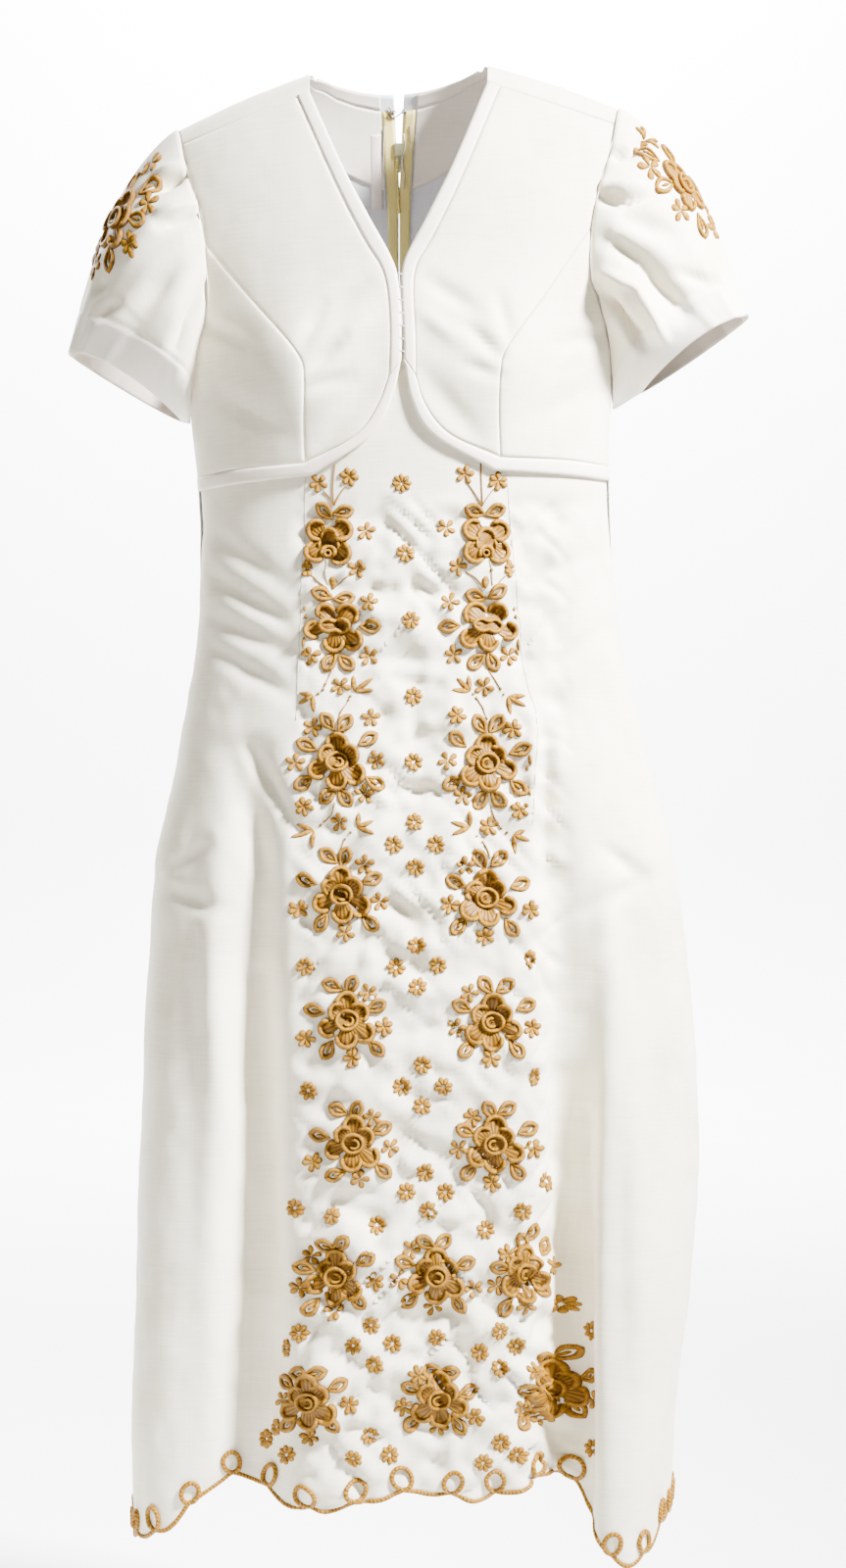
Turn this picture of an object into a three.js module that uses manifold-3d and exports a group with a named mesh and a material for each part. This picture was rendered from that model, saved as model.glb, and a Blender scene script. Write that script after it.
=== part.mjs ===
// Embroidered maxi dress with a mock bolero bodice, hanging filled out and hollow from its shoulders.
// Millimetres, +Z up, the front towards -Y and the viewer's right towards +X. The origin lies midway
// between the shoulder seams, where the dress is held.
//
// The whole dress is one surface with two coordinates. The angle runs round it in degrees: 0 is centre
// front, 90 the right side seam, -90 the left one and 180 centre back. The height is z above ARCH_BASE
// up to that level. Past it, it is the way up and over the shoulder, so that it carries on to the other face.
// Every panel is a patch of that surface, and every layer is the patch moved out along its normals.

import * as THREE from "three";
import { mergeVertices } from "three/addons/utils/BufferGeometryUtils.js";
import Module from "manifold-3d";

// Cloth, seams and layers
const CLOTH = 1.2;
const SEAM_GAP = 0.3;
const BOLERO_LOFT = 1.8;
const UNDER_BOLERO = 3;
const UNDER_BOLERO_TO_Z = -465;
const UNDER_BOLERO_RUN = 85;
const BINDING_CLOTH = 1.6;
const LINING_CLOTH = 0.8;
const SLEEVE_LIFT = 1.5;

// Where the eye stands for the front-view sizes below, which are taken at the plane of the side seams
const EYE_DISTANCE = 2600;
const EYE_X = 17;
const EYE_Z = -640;
const AIM_ROUNDS = 8;
const FINE_STEPS = 60;
const MM_PER_DEGREE = 3.3;

// The body, a row for each level. Left and right are the sides, front and back the depths
const SECTIONS = [
  { z: -1400, left: -247, right: 244, front: 116, back: 106 },
  { z: -1226, left: -251, right: 252, front: 112, back: 102 },
  { z: -1116, left: -248, right: 265, front: 110, back: 99 },
  { z: -1006, left: -246, right: 274, front: 107, back: 96 },
  { z: -897, left: -243, right: 272, front: 103, back: 93 },
  { z: -787, left: -238, right: 262, front: 99, back: 90 },
  { z: -714, left: -233, right: 252, front: 96, back: 87 },
  { z: -640, left: -217, right: 232, front: 90, back: 82 },
  { z: -567, left: -204, right: 214, front: 84, back: 77 },
  { z: -494, left: -193, right: 199, front: 80, back: 72 },
  { z: -384, left: -192, right: 192, front: 80, back: 70 },
  { z: -300, left: -199, right: 192, front: 84, back: 72 },
  { z: -225, left: -211, right: 207, front: 86, back: 75 },
  { z: -150, left: -234, right: 222, front: 82, back: 74 },
];
const ARCH_BASE = -150;

// The line along the top of the shoulders, by the distance from the centre line
const RIDGE = [
  { out: 0, z: 48 },
  { out: 83, z: 25 },
  { out: 150, z: 2 },
  { out: 215, z: -26 },
  { out: 240, z: -38 },
];

// The dress hangs a little lower on its left shoulder
const TILT = [
  { z: -620, slope: 0 },
  { z: -340, slope: 0.028 },
  { z: -120, slope: 0.045 },
  { z: 60, slope: 0.05 },
];

// Fullness for the bust, at the point of each princess seam
const BUST_ANGLE = 27;
const BUST_ANGLE_SPREAD = 15;
const BUST_Z = -262;
const BUST_Z_SPREAD = 58;
const BUST_DEPTH = 13;

// Skirt folds: depth out of the surface, lean along it, from where they start to where they are full
const FOLDS = [
  { angle: -63, width: 16, depth: 18, lean: 0, from: -560, full: -1250 },
  { angle: -36, width: 9, depth: -30, lean: -4, from: -600, full: -1180 },
  { angle: -14, width: 8, depth: 5, lean: 0, from: -700, full: -1250 },
  { angle: 5, width: 9, depth: -5, lean: 0, from: -900, full: -1300 },
  { angle: 36, width: 8, depth: -34, lean: 0, from: -640, full: -1180 },
  { angle: 55, width: 11, depth: 25, lean: -15, from: -860, full: -1250 },
  { angle: 112, width: 11, depth: 15, lean: 0, from: -620, full: -1250 },
  { angle: 137, width: 9, depth: -24, lean: 0, from: -600, full: -1200 },
  { angle: 161, width: 9, depth: 12, lean: 0, from: -720, full: -1280 },
  { angle: -114, width: 12, depth: 16, lean: 0, from: -640, full: -1250 },
  { angle: -139, width: 8, depth: -22, lean: 0, from: -560, full: -1200 },
  { angle: -163, width: 9, depth: 11, lean: 0, from: -760, full: -1280 },
];

// The hem's level round the dress
const HEM = [
  { angle: -180, z: -1290 },
  { angle: -140, z: -1283 },
  { angle: -112, z: -1300 },
  { angle: -85, z: -1330 },
  { angle: -66, z: -1325 },
  { angle: -56, z: -1314 },
  { angle: -44, z: -1275 },
  { angle: -36, z: -1270 },
  { angle: -20, z: -1290 },
  { angle: 2, z: -1273 },
  { angle: 17, z: -1281 },
  { angle: 36, z: -1266 },
  { angle: 42, z: -1286 },
  { angle: 50, z: -1336 },
  { angle: 60, z: -1338 },
  { angle: 72, z: -1318 },
  { angle: 90, z: -1312 },
  { angle: 112, z: -1302 },
  { angle: 140, z: -1284 },
  { angle: 180, z: -1290 },
];
const SCALLOPS_FRONT = 18;
const SCALLOPS_BACK_HALF = 9;
const SCALLOP_DEPTH = 5;

// Front-view lines of the left half, by distance from the centre line. The right half mirrors them
const ARMHOLE_TOP = [
  { out: 202, z: -34 },
  { out: 197, z: -60 },
  { out: 185, z: -100 },
  { out: 180, z: -129 },
];
const ARMHOLE_LOW = [
  { out: 180, z: -129 },
  { out: 179, z: -174 },
  { out: 183, z: -197 },
  { out: 190, z: -222 },
  { out: 195, z: -262 },
  { out: 196.5, z: -297 },
];
const PRINCESS = [
  { out: 180, z: -129 },
  { out: 139, z: -183 },
  { out: 95, z: -241 },
  { out: 92, z: -256 },
  { out: 91, z: -338 },
];
const SHOULDER_SEAM = [
  { out: 202, z: -34 },
  { out: 95, z: 6 },
];
const NECK_SEAM = [
  { out: 95, z: 6 },
  { out: 54, z: -87 },
  { out: 30, z: -134 },
  { out: 16.5, z: -157 },
  { out: 12.3, z: -176 },
  { out: 12.5, z: -259 },
];
const NECK_EDGE = [
  { out: 83, z: 10.5 },
  { out: 49, z: -67 },
  { out: 28, z: -108 },
  { out: 4, z: -155 },
  { out: 1, z: -176 },
  { out: 1, z: -243 },
];
const CURVE_SEAM = [
  { out: 12.5, z: -259 },
  { out: 22, z: -286 },
  { out: 42, z: -313 },
  { out: 91, z: -338 },
];
const CURVE_EDGE = [
  { out: 1, z: -243 },
  { out: 8, z: -278 },
  { out: 24, z: -310 },
  { out: 84, z: -350 },
];
const SIDE_SEAM_LOW = [
  { out: 91, z: -338 },
  { out: 159, z: -343 },
  { out: 197, z: -350 },
];
const SIDE_EDGE_LOW = [
  { out: 84, z: -350 },
  { out: 158, z: -357 },
  { out: 197, z: -363 },
];

// The back neckline, its binding and its facing, by distance from the centre line at the back
const BACK_NECK = [
  { out: 2, z: 3 },
  { out: 30, z: 6 },
  { out: 60, z: 15 },
  { out: 84, z: 27 },
];
const BACK_BINDING_DEPTH = 15;
const BACK_FACING_DEPTH = 72;
const BACK_FACING_ROWS = 3;
const BACK_FACING_COLUMNS = 8;
const BACK_OVERLAP_ROWS = 3;

// The back armhole runs from the underarm up to the shoulder
const ARMHOLE_BACK = [
  { out: 196.5, z: -297 },
  { out: 193, z: -262 },
  { out: 184, z: -215 },
  { out: 179, z: -165 },
  { out: 184, z: -110 },
  { out: 198, z: -55 },
  { out: 208, z: -29 },
];

// Where the dress front ends, hidden behind the bolero
const FRONT_TOP_CENTER_Z = -225;
const UNDERARM_Z = -297;

// How finely each patch is drawn
const TOP_ROWS = 4;
const PRINCESS_ROWS = 9;
const CENTER_COLUMNS = 7;
const SIDE_COLUMNS = 10;
const SKIRT_ROWS = 17;
const ARMHOLE_ROWS = 13;
const SLEEVE_ROWS = 9;

// Sleeves: where the cuff's outer and inner corners lie, and how far its middle stands from them
const SLEEVES = [
  { name: "sleeve_left", side: -1, outX: -313, outZ: -240, inX: -209, inZ: -300, depth: 46, puff: 25 },
  { name: "sleeve_right", side: 1, outX: 320, outZ: -206, inX: 222, inZ: -272, depth: 46, puff: 24 },
];
const CUFF_BACK_SHIFT = 14;
const CUFF_FRONT_LIFT = 10;
const PUFF_FORWARD = 0.75;
const PLEATS = [
  { turn: 42, width: 9, depth: 6 },
  { turn: 68, width: 9, depth: 6 },
  { turn: 292, width: 9, depth: 5 },
  { turn: 318, width: 9, depth: 5 },
];
const TUCKS = [
  { turn: 22, width: 7, depth: 2.6 },
  { turn: 48, width: 7, depth: 2.6 },
  { turn: 74, width: 7, depth: 2.6 },
  { turn: 286, width: 7, depth: 2.6 },
  { turn: 312, width: 7, depth: 2.6 },
  { turn: 338, width: 7, depth: 2.6 },
];

// Large roses of raised satin stitch, by their place in the front view
const ROSE_RADIUS = 22;
const ROSE_PETALS = 5;
const ROSE_STEPS = 15;
const ROSE_SEAT = 0.6;
const ROSE_SEAT_IN_FOLD = 1.15;
const ROSES = [
  { name: "rose_left_1", x: -72, z: -414 },
  { name: "rose_right_1", x: 77, z: -414 },
  { name: "rose_left_2", x: -66, z: -492 },
  { name: "rose_right_2", x: 78, z: -492 },
  { name: "rose_left_3", x: -63, z: -619 },
  { name: "rose_right_3", x: 78, z: -619 },
  { name: "rose_left_4", x: -60, z: -743 },
  { name: "rose_right_4", x: 77, z: -746 },
  { name: "rose_left_5", x: -54, z: -860 },
  { name: "rose_right_5", x: 82, z: -862 },
  { name: "rose_left_6", x: -49, z: -975 },
  { name: "rose_right_6", x: 84, z: -976 },
  { name: "rose_left_7", x: -66, z: -1101 },
  { name: "rose_center_7", x: 29, z: -1099 },
  { name: "rose_right_7", x: 113, z: -1097, seat: ROSE_SEAT_IN_FOLD },
  { name: "rose_left_8", x: -91, z: -1217 },
  { name: "rose_center_8", x: 32, z: -1215 },
  { name: "rose_right_8", x: 139, z: -1205 },
];
const ROSE_RINGS = [
  { share: 0.5, height: 0 },
  { share: 1, height: 0 },
  { share: 1, height: 0.8 },
  { share: 0.8, height: 2.6 },
  { share: 0.34, height: 3.2 },
];

// Gold cord along the hem
const CORD_WIDTH = 2.4;
const CORD_GAP = 0.3;

// Zip in the centre back
const ZIP_ROWS = 19;
const ZIP_EDGE_SHARE = 0.06;
const ZIP_TAPE_SHARE = 0.68;
const FACING_EDGE_SHARE = 0.74;
const ZIP_OPENING = [
  { below: 0, half: 4.2 },
  { below: 15, half: 3.2 },
  { below: 34, half: 2.2 },
  { below: 53, half: 1.4 },
  { below: 72, half: 0 },
  { below: 73, half: 0 },
];
const SLIDER_FACET = 3;
const SLIDER_WIDTH = 8;
const SLIDER_LENGTH = 12;
const SLIDER_PLATE = 1.6;
const BRIDGE_WIDTH = 1.2;
const BRIDGE_REACH = 4.5;
const BRIDGE_HEIGHT = 2.6;
const BRIDGE_BAR = 1.2;
const EYE_LOW = 0.35;
const EYE_HIGH = 1.75;
const PULL_WIDTH = 5;
const PULL_LENGTH = 22;
const PULL_THICKNESS = 0.9;
const PULL_EYE_WIDTH = 2.4;
const PULL_EYE_LENGTH = 5;
const PULL_ROUND_STEPS = 5;

// Finishes
const CREAM = new THREE.MeshStandardMaterial({ color: 0xefeadf, roughness: 0.85, metalness: 0 });
const IVORY = new THREE.MeshStandardMaterial({ color: 0xf5f1e6, roughness: 0.85, metalness: 0 });
const GOLD = new THREE.MeshStandardMaterial({ color: 0xb7833a, roughness: 0.6, metalness: 0 });
const YELLOW = new THREE.MeshStandardMaterial({ color: 0xe1cd6e, roughness: 0.8, metalness: 0 });
const ZIP_METAL = new THREE.MeshStandardMaterial({ color: 0xc8c494, roughness: 0.4, metalness: 0.6 });

const dress = new THREE.Group();
const rad = THREE.MathUtils.degToRad;
const deg = THREE.MathUtils.radToDeg;
const clamp = THREE.MathUtils.clamp;
const smooth = (t) => THREE.MathUtils.smoothstep(t, 0, 1);
const bell = (t) => Math.exp(-t * t);
const steps = (count) => Array.from({ length: count + 1 }, (_, i) => i / count);

// Reads one column of a table between its rows, on a smooth curve
function read(table, by, key, at) {
  const last = table.length - 1;
  let row = 0;
  while (row < last - 1 && table[row + 1][by] < at) row += 1;
  const slope = (i) => {
    const a = table[Math.max(i - 1, 0)];
    const b = table[Math.min(i + 1, last)];
    return (b[key] - a[key]) / (b[by] - a[by]);
  };
  const from = table[row];
  const to = table[row + 1];
  const span = to[by] - from[by];
  const t = clamp((at - from[by]) / span, 0, 1);
  const rise = to[key] - from[key];
  const a = slope(row) * span - rise;
  const b = rise - slope(row + 1) * span;
  return from[key] + rise * t + t * (1 - t) * (a * (1 - t) + b * t);
}

// The surface of the dress

function sidesAt(level) {
  const left = read(SECTIONS, "z", "left", level);
  const right = read(SECTIONS, "z", "right", level);
  return { center: (left + right) / 2, half: (right - left) / 2 };
}

const ridgeRise = (out) => read(RIDGE, "out", "z", Math.abs(out)) - ARCH_BASE;

// Degrees between two angles, the short way round
const apart = (a, b) => ((((a - b) % 360) + 540) % 360) - 180;

function bustAt(angle, z) {
  const up = bell((z - BUST_Z) / BUST_Z_SPREAD);
  const near = (center) => bell((angle - center) / BUST_ANGLE_SPREAD);
  return BUST_DEPTH * up * (near(BUST_ANGLE) + near(-BUST_ANGLE));
}

function foldsAt(angle, z) {
  let depth = 0;
  let lean = 0;
  for (const fold of FOLDS) {
    const down = smooth((fold.from - z) / (fold.from - fold.full));
    const share = bell(apart(angle, fold.angle) / fold.width) * down;
    depth += fold.depth * share;
    lean += fold.lean * share;
  }
  return { depth, lean };
}

function surface(angle, height) {
  const level = Math.min(height, 0) + ARCH_BASE;
  const { center, half } = sidesAt(level);
  const out = half * Math.sin(rad(angle));
  let z = level;
  let arch = 1;
  if (height > 0) {
    const rise = ridgeRise(out);
    const over = (Math.PI / 2) * (height / rise);
    z = ARCH_BASE + rise * Math.sin(over);
    arch = Math.cos(over);
  }
  const back = Math.abs(angle) > 90;
  const depth = read(SECTIONS, "z", back === arch >= 0 ? "back" : "front", level);
  const outward = new THREE.Vector3(Math.sin(rad(angle)) / half, -Math.cos(rad(angle)) / depth, 0);
  outward.normalize();
  const along = new THREE.Vector3(-outward.y, outward.x, 0);
  const folds = foldsAt(angle, level);
  const push = folds.depth + bustAt(angle, z);
  const tilt = read(TILT, "z", "slope", z) * out;
  return new THREE.Vector3(center + out, -depth * Math.cos(rad(angle)) * arch, z + tilt)
    .addScaledVector(outward, push)
    .addScaledVector(along, folds.lean);
}

function lifted([angle, height], lift) {
  const round = surface(angle + 0.4, height).sub(surface(angle - 0.4, height));
  const up = surface(angle, height + 1).sub(surface(angle, height - 1));
  return surface(angle, height).addScaledVector(round.cross(up).normalize(), lift);
}

// From a place in the front view to the surface

function spotOf(face, x, z) {
  const { center, half } = sidesAt(Math.min(z, ARCH_BASE));
  const out = clamp(x - center, -half, half);
  const turned = deg(Math.asin(out / half));
  const angle = face === "front" ? turned : Math.sign(out || 1) * 180 - turned;
  const level = z - read(TILT, "z", "slope", z) * out;
  if (level <= ARCH_BASE) return [angle, level - ARCH_BASE];
  const rise = ridgeRise(out);
  const over = Math.asin(clamp((level - ARCH_BASE) / rise, 0, 1)) / (Math.PI / 2);
  return [angle, rise * (face === "over" ? 2 - over : over)];
}

// The eye sees (x, z) at the plane of the sides, so the place aimed for is drawn in by its own depth
function seen(face, x, z) {
  let aimX = x;
  let aimZ = z;
  let spot = spotOf(face, aimX, aimZ);
  for (let round = 0; round < AIM_ROUNDS; round += 1) {
    const at = surface(...spot);
    const near = (EYE_DISTANCE + at.y) / EYE_DISTANCE;
    aimX += EYE_X + (x - EYE_X) * near - at.x;
    aimZ += EYE_Z + (z - EYE_Z) * near - at.z;
    spot = spotOf(face, aimX, aimZ);
  }
  return spot;
}

// A place given by its distance from the centre line and its level
function sideSpot(face, side, { out, z }) {
  const { center } = sidesAt(Math.min(z, ARCH_BASE));
  const drop = read(TILT, "z", "slope", z) * side * out;
  return seen(face, center + side * out, z + drop);
}

// Places evenly along a line of the table, by its length on the cloth
function line(face, side, rows, count, atSideSeam = false) {
  const points = rows.map((row) => new THREE.Vector3(row.out, row.z, 0));
  const curve = new THREE.CatmullRomCurve3(points, false, "centripetal");
  const fine = curve.getPoints(FINE_STEPS).map((at) => sideSpot(face, side, { out: at.x, z: at.y }));
  if (atSideSeam) fine[FINE_STEPS] = [side * 90, fine[FINE_STEPS][1]];
  const flat = fine.map(([angle, height]) => new THREE.Vector3(angle * MM_PER_DEGREE, height, 0));
  const path = new THREE.CurvePath();
  for (let i = 0; i < FINE_STEPS; i += 1) path.add(new THREE.LineCurve3(flat[i], flat[i + 1]));
  return path.getSpacedPoints(count).map((at) => [at.x / MM_PER_DEGREE, at.y]);
}

// Patches and walls

const mix = (a, b, t) => [a[0] + (b[0] - a[0]) * t, a[1] + (b[1] - a[1]) * t];

// How far each point of an edge lies off the straight line between its ends
function offChord(edge) {
  return edge.map((at, i) => {
    const chord = mix(edge[0], edge.at(-1), i / (edge.length - 1));
    return [at[0] - chord[0], at[1] - chord[1]];
  });
}

// Fills in between four edges whose corners meet: rows go up, columns from the left edge to the right one.
// The shape of the top edge fades out by the row given
function patch(bottom, top, left, right, fadedAt = 0) {
  const columns = bottom.length - 1;
  const rows = left.length - 1;
  const low = offChord(bottom);
  const high = offChord(top);
  return steps(rows).map((v, j) => {
    const share = Math.max(j - fadedAt, 0) / (rows - fadedAt);
    return steps(columns).map((u, i) => {
      const across = mix(left[j], right[j], u);
      return [0, 1].map((k) => across[k] + low[i][k] * (1 - v) + high[i][k] * share);
    });
  });
}

// The same patch for the other side: its columns run from the centre outwards instead
function sidePatch(side, { low, high, center, outer }) {
  if (side < 0) return patch(low, high, outer, center);
  return patch([...low].reverse(), [...high].reverse(), center, outer);
}

// Draws a net of points in by half a seam's gap along its edges
function drawIn(net, gap) {
  const rows = net.length - 1;
  const columns = net[0].length - 1;
  const toward = (from, to) => to.clone().sub(from).setLength(gap);
  return net.map((row, j) =>
    row.map((at, i) => {
      const moved = at.clone();
      if (i === 0) moved.add(toward(at, row[1]));
      if (i === columns) moved.add(toward(at, row[columns - 1]));
      if (j === 0) moved.add(toward(at, net[1][i]));
      if (j === rows) moved.add(toward(at, net[rows - 1][i]));
      return moved;
    }),
  );
}

// A closed wall between an outer and an inner net. A ring's last column joins its first
function slab(outer, inner, ring) {
  const rows = outer.length;
  const columns = outer[0].length;
  const index = [];
  const outside = (j, i) => j * columns + (i % columns);
  const inside = (j, i) => rows * columns + j * columns + (i % columns);
  const points = [...outer.flat(), ...inner.flat()];
  const quad = (a, b, c, d) => {
    const even = points[a].distanceTo(points[c]) <= points[b].distanceTo(points[d]);
    index.push(...(even ? [a, b, c, a, c, d] : [b, c, d, b, d, a]));
  };
  const lastColumn = ring ? columns : columns - 1;
  for (let j = 0; j < rows - 1; j += 1) {
    for (let i = 0; i < lastColumn; i += 1) {
      quad(outside(j, i), outside(j, i + 1), outside(j + 1, i + 1), outside(j + 1, i));
      quad(inside(j, i), inside(j + 1, i), inside(j + 1, i + 1), inside(j, i + 1));
    }
    if (!ring) {
      quad(outside(j, 0), outside(j + 1, 0), inside(j + 1, 0), inside(j, 0));
      const end = columns - 1;
      quad(outside(j, end), inside(j, end), inside(j + 1, end), outside(j + 1, end));
    }
  }
  for (let i = 0; i < lastColumn; i += 1) {
    quad(outside(0, i), inside(0, i), inside(0, i + 1), outside(0, i + 1));
    const end = rows - 1;
    quad(outside(end, i), outside(end, i + 1), inside(end, i + 1), inside(end, i));
  }
  return geometryOf(points, index);
}

function geometryOf(points, index) {
  const geometry = new THREE.BufferGeometry();
  const numbers = points.flatMap((p) => [p.x, p.y, p.z]);
  geometry.setAttribute("position", new THREE.Float32BufferAttribute(numbers, 3));
  geometry.setIndex(index);
  geometry.computeVertexNormals();
  return geometry;
}

function addPiece(name, geometry, material) {
  const mesh = new THREE.Mesh(geometry, material);
  mesh.name = name;
  dress.add(mesh);
}

// A panel of cloth: its inner face lies at lift, which may change with the angle
function addPanel(name, net, lift, cloth, material) {
  const liftAt = typeof lift === "function" ? lift : () => lift;
  const face = (more) =>
    drawIn(net.map((row) => row.map((spot) => lifted(spot, liftAt(spot) + more))), SEAM_GAP / 2);
  addPiece(name, slab(face(cloth), face(0), false), material);
}

// Bolero: four panels and their bindings

// The bolero meets the backs in one layer at its seams and stands off towards the centre front
const boleroLift = ([angle]) => BOLERO_LOFT * Math.max(Math.cos(rad(angle)), 0) ** 3 - CLOTH;

function boleroLines(side) {
  const front = (rows, count, atSideSeam) => line("front", side, rows, count, atSideSeam);
  return {
    armholeTop: front(ARMHOLE_TOP, TOP_ROWS),
    princess: front(PRINCESS, PRINCESS_ROWS),
    armholeLow: front(ARMHOLE_LOW, SIDE_COLUMNS, true),
    shoulder: front(SHOULDER_SEAM, CENTER_COLUMNS),
    neckSeam: front(NECK_SEAM, TOP_ROWS + PRINCESS_ROWS),
    neckEdge: front(NECK_EDGE, TOP_ROWS + PRINCESS_ROWS),
    curveSeam: front(CURVE_SEAM, CENTER_COLUMNS),
    curveEdge: front(CURVE_EDGE, CENTER_COLUMNS),
    sideSeamLow: front(SIDE_SEAM_LOW, SIDE_COLUMNS, true),
    sideEdgeLow: front(SIDE_EDGE_LOW, SIDE_COLUMNS, true),
  };
}

function onSideSeam(side, spots) {
  return spots.map(([, height]) => [side * 90, height]);
}

function addBolero(side, suffix) {
  const lines = boleroLines(side);
  const underarm = [side * 90, UNDERARM_Z - ARCH_BASE];
  const lowSide = lines.sideSeamLow[SIDE_COLUMNS][1];
  lines.armholeLow[SIDE_COLUMNS] = underarm;
  const center = sidePatch(side, {
    low: [...lines.curveSeam].reverse(),
    high: lines.shoulder,
    outer: [...lines.armholeTop, ...lines.princess.slice(1)].reverse(),
    center: [...lines.neckSeam].reverse(),
  });
  const sideSeam = steps(PRINCESS_ROWS).map((t) => mix([side * 90, lowSide], underarm, t));
  const sidePanel = sidePatch(side, {
    low: [...lines.sideSeamLow].reverse(),
    high: [...lines.armholeLow].reverse(),
    outer: onSideSeam(side, sideSeam),
    center: [...lines.princess].reverse(),
  });
  const neck = sidePatch(side, {
    low: [lines.neckSeam.at(-1), lines.neckEdge.at(-1)],
    high: [lines.neckSeam[0], lines.neckEdge[0]],
    outer: [...lines.neckSeam].reverse(),
    center: [...lines.neckEdge].reverse(),
  });
  const seamAll = [...lines.curveSeam, ...lines.sideSeamLow.slice(1)].reverse();
  const edgeAll = [...lines.curveEdge, ...lines.sideEdgeLow.slice(1)].reverse();
  const hem = sidePatch(side, {
    low: edgeAll,
    high: seamAll,
    outer: [edgeAll[0], seamAll[0]],
    center: [edgeAll.at(-1), seamAll.at(-1)],
  });
  addPanel(`bolero_center_${suffix}`, center, boleroLift, CLOTH, CREAM);
  addPanel(`bolero_side_${suffix}`, sidePanel, boleroLift, CLOTH, CREAM);
  addPanel(`neck_binding_${suffix}`, neck, boleroLift, BINDING_CLOTH, IVORY);
  addPanel(`bolero_binding_${suffix}`, hem, boleroLift, BINDING_CLOTH, IVORY);
}

// Dress front and backs, with a scalloped hem

// The hem runs down in a scallop between two cusps
function hemSpot(angle, scallop) {
  const round = Math.abs(Math.sin(Math.PI * scallop));
  const level = read(HEM, "angle", "z", angle) - SCALLOP_DEPTH * (round - 0.5);
  return [angle, level - ARCH_BASE];
}

function hemLine(from, to, scallops) {
  return steps(scallops * 2).map((t) => hemSpot(from + (to - from) * t, t * scallops));
}

// Side seams and centre backs share their levels, closer together where the folds begin
function levelsUp(low, high, count) {
  return steps(count).map((t) => low + (high - low) * t);
}

function frontTop(angle) {
  const drop = (FRONT_TOP_CENTER_Z - UNDERARM_Z) * smooth(Math.abs(angle) / 90);
  return [angle, FRONT_TOP_CENTER_Z - drop - ARCH_BASE];
}

function frontNet() {
  const low = hemLine(-90, 90, SCALLOPS_FRONT);
  const high = steps(SCALLOPS_FRONT * 2).map((t) => frontTop(-90 + 180 * t));
  const edge = (angle, start) =>
    levelsUp(start[1], UNDERARM_Z - ARCH_BASE, SKIRT_ROWS).map((height) => [angle, height]);
  return patch(low, high, edge(-90, low[0]), edge(90, low.at(-1)));
}

const FRONT_NET = frontNet();

// The dress front lies one layer further in where the bolero covers it
function frontLift([, height]) {
  return -CLOTH - UNDER_BOLERO * smooth((height + ARCH_BASE - UNDER_BOLERO_TO_Z) / UNDER_BOLERO_RUN);
}

// A point on the flat facets of the dress front, moved out
function onFront([angle, height], lift) {
  const columns = FRONT_NET[0].length - 1;
  const across = clamp(((angle + 90) / 180) * columns, 0, columns - 1e-6);
  const i = Math.floor(across);
  const heightAt = (j) => mix(FRONT_NET[j][i], FRONT_NET[j][i + 1], across - i)[1];
  let j = 0;
  while (j < FRONT_NET.length - 2 && heightAt(j + 1) < height) j += 1;
  const up = (height - heightAt(j)) / (heightAt(j + 1) - heightAt(j));
  const above = (spot) => lifted(spot, frontLift(spot) + CLOTH + lift);
  const along = (row) => above(row[i]).lerp(above(row[i + 1]), across - i);
  return along(FRONT_NET[j]).lerp(along(FRONT_NET[j + 1]), up);
}

// Up the side seam, up the back armhole, over the shoulder and down to the shoulder seam in front
function backOuterEdge(side) {
  const hemHeight = hemSpot(side * 90, 0)[1];
  const seam = levelsUp(hemHeight, UNDERARM_Z - ARCH_BASE, SKIRT_ROWS).map((height) => [side * 90, height]);
  const armhole = line("back", side, ARMHOLE_BACK, ARMHOLE_ROWS - BACK_OVERLAP_ROWS);
  const seamEnd = sideSpot("over", side, SHOULDER_SEAM[0]);
  const over = steps(BACK_OVERLAP_ROWS).map((t) => mix(armhole.at(-1), seamEnd, t));
  return [...seam, ...armhole.slice(1), ...over.slice(1)];
}

// Along the neckline from the centre back to the top of the shoulder, over it and out along its seam
function backTopEdge(side) {
  const neck = line("back", side, BACK_NECK, SCALLOPS_BACK_HALF - BACK_OVERLAP_ROWS);
  const seam = line("over", side, [NECK_EDGE[0], ...[...SHOULDER_SEAM].reverse()], SCALLOPS_BACK_HALF);
  const over = steps(BACK_OVERLAP_ROWS).map((t) => mix(neck.at(-1), seam[0], t));
  return [...neck, ...over.slice(1, -1), ...seam];
}

// Levels up the centre back: the skirt's, then the bodice's, then the depths of the facing and the binding
function centerBackLevels(hemHeight, neckHeight) {
  const bodiceRows = ARMHOLE_ROWS - BACK_FACING_ROWS - 1;
  const facingLow = neckHeight - BACK_FACING_DEPTH;
  const facingHigh = neckHeight - BACK_BINDING_DEPTH;
  return [
    ...levelsUp(hemHeight, UNDERARM_Z - ARCH_BASE, SKIRT_ROWS),
    ...levelsUp(UNDERARM_Z - ARCH_BASE, facingLow, bodiceRows).slice(1),
    ...levelsUp(facingLow, facingHigh, BACK_FACING_ROWS).slice(1),
    neckHeight,
  ];
}

function backNet(side) {
  const edge = backTopEdge(side);
  const center = side * 180;
  edge[0] = [center, edge[0][1]];
  const low = hemLine(center, side * 90, SCALLOPS_BACK_HALF);
  const neckHeight = edge[0][1];
  const middle = centerBackLevels(low[0][1], neckHeight).map((height) => {
    const half = read(ZIP_OPENING, "below", "half", neckHeight - height);
    return [side * (180 - half / MM_PER_DEGREE), height];
  });
  edge[0] = middle.at(-1);
  return patch(low, edge, middle, backOuterEdge(side), SKIRT_ROWS);
}

// Turns a net whose columns run from the centre back outwards so that its face looks outwards
const facing = (side, net) => (side > 0 ? net.map((row) => [...row].reverse()) : net);

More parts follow.
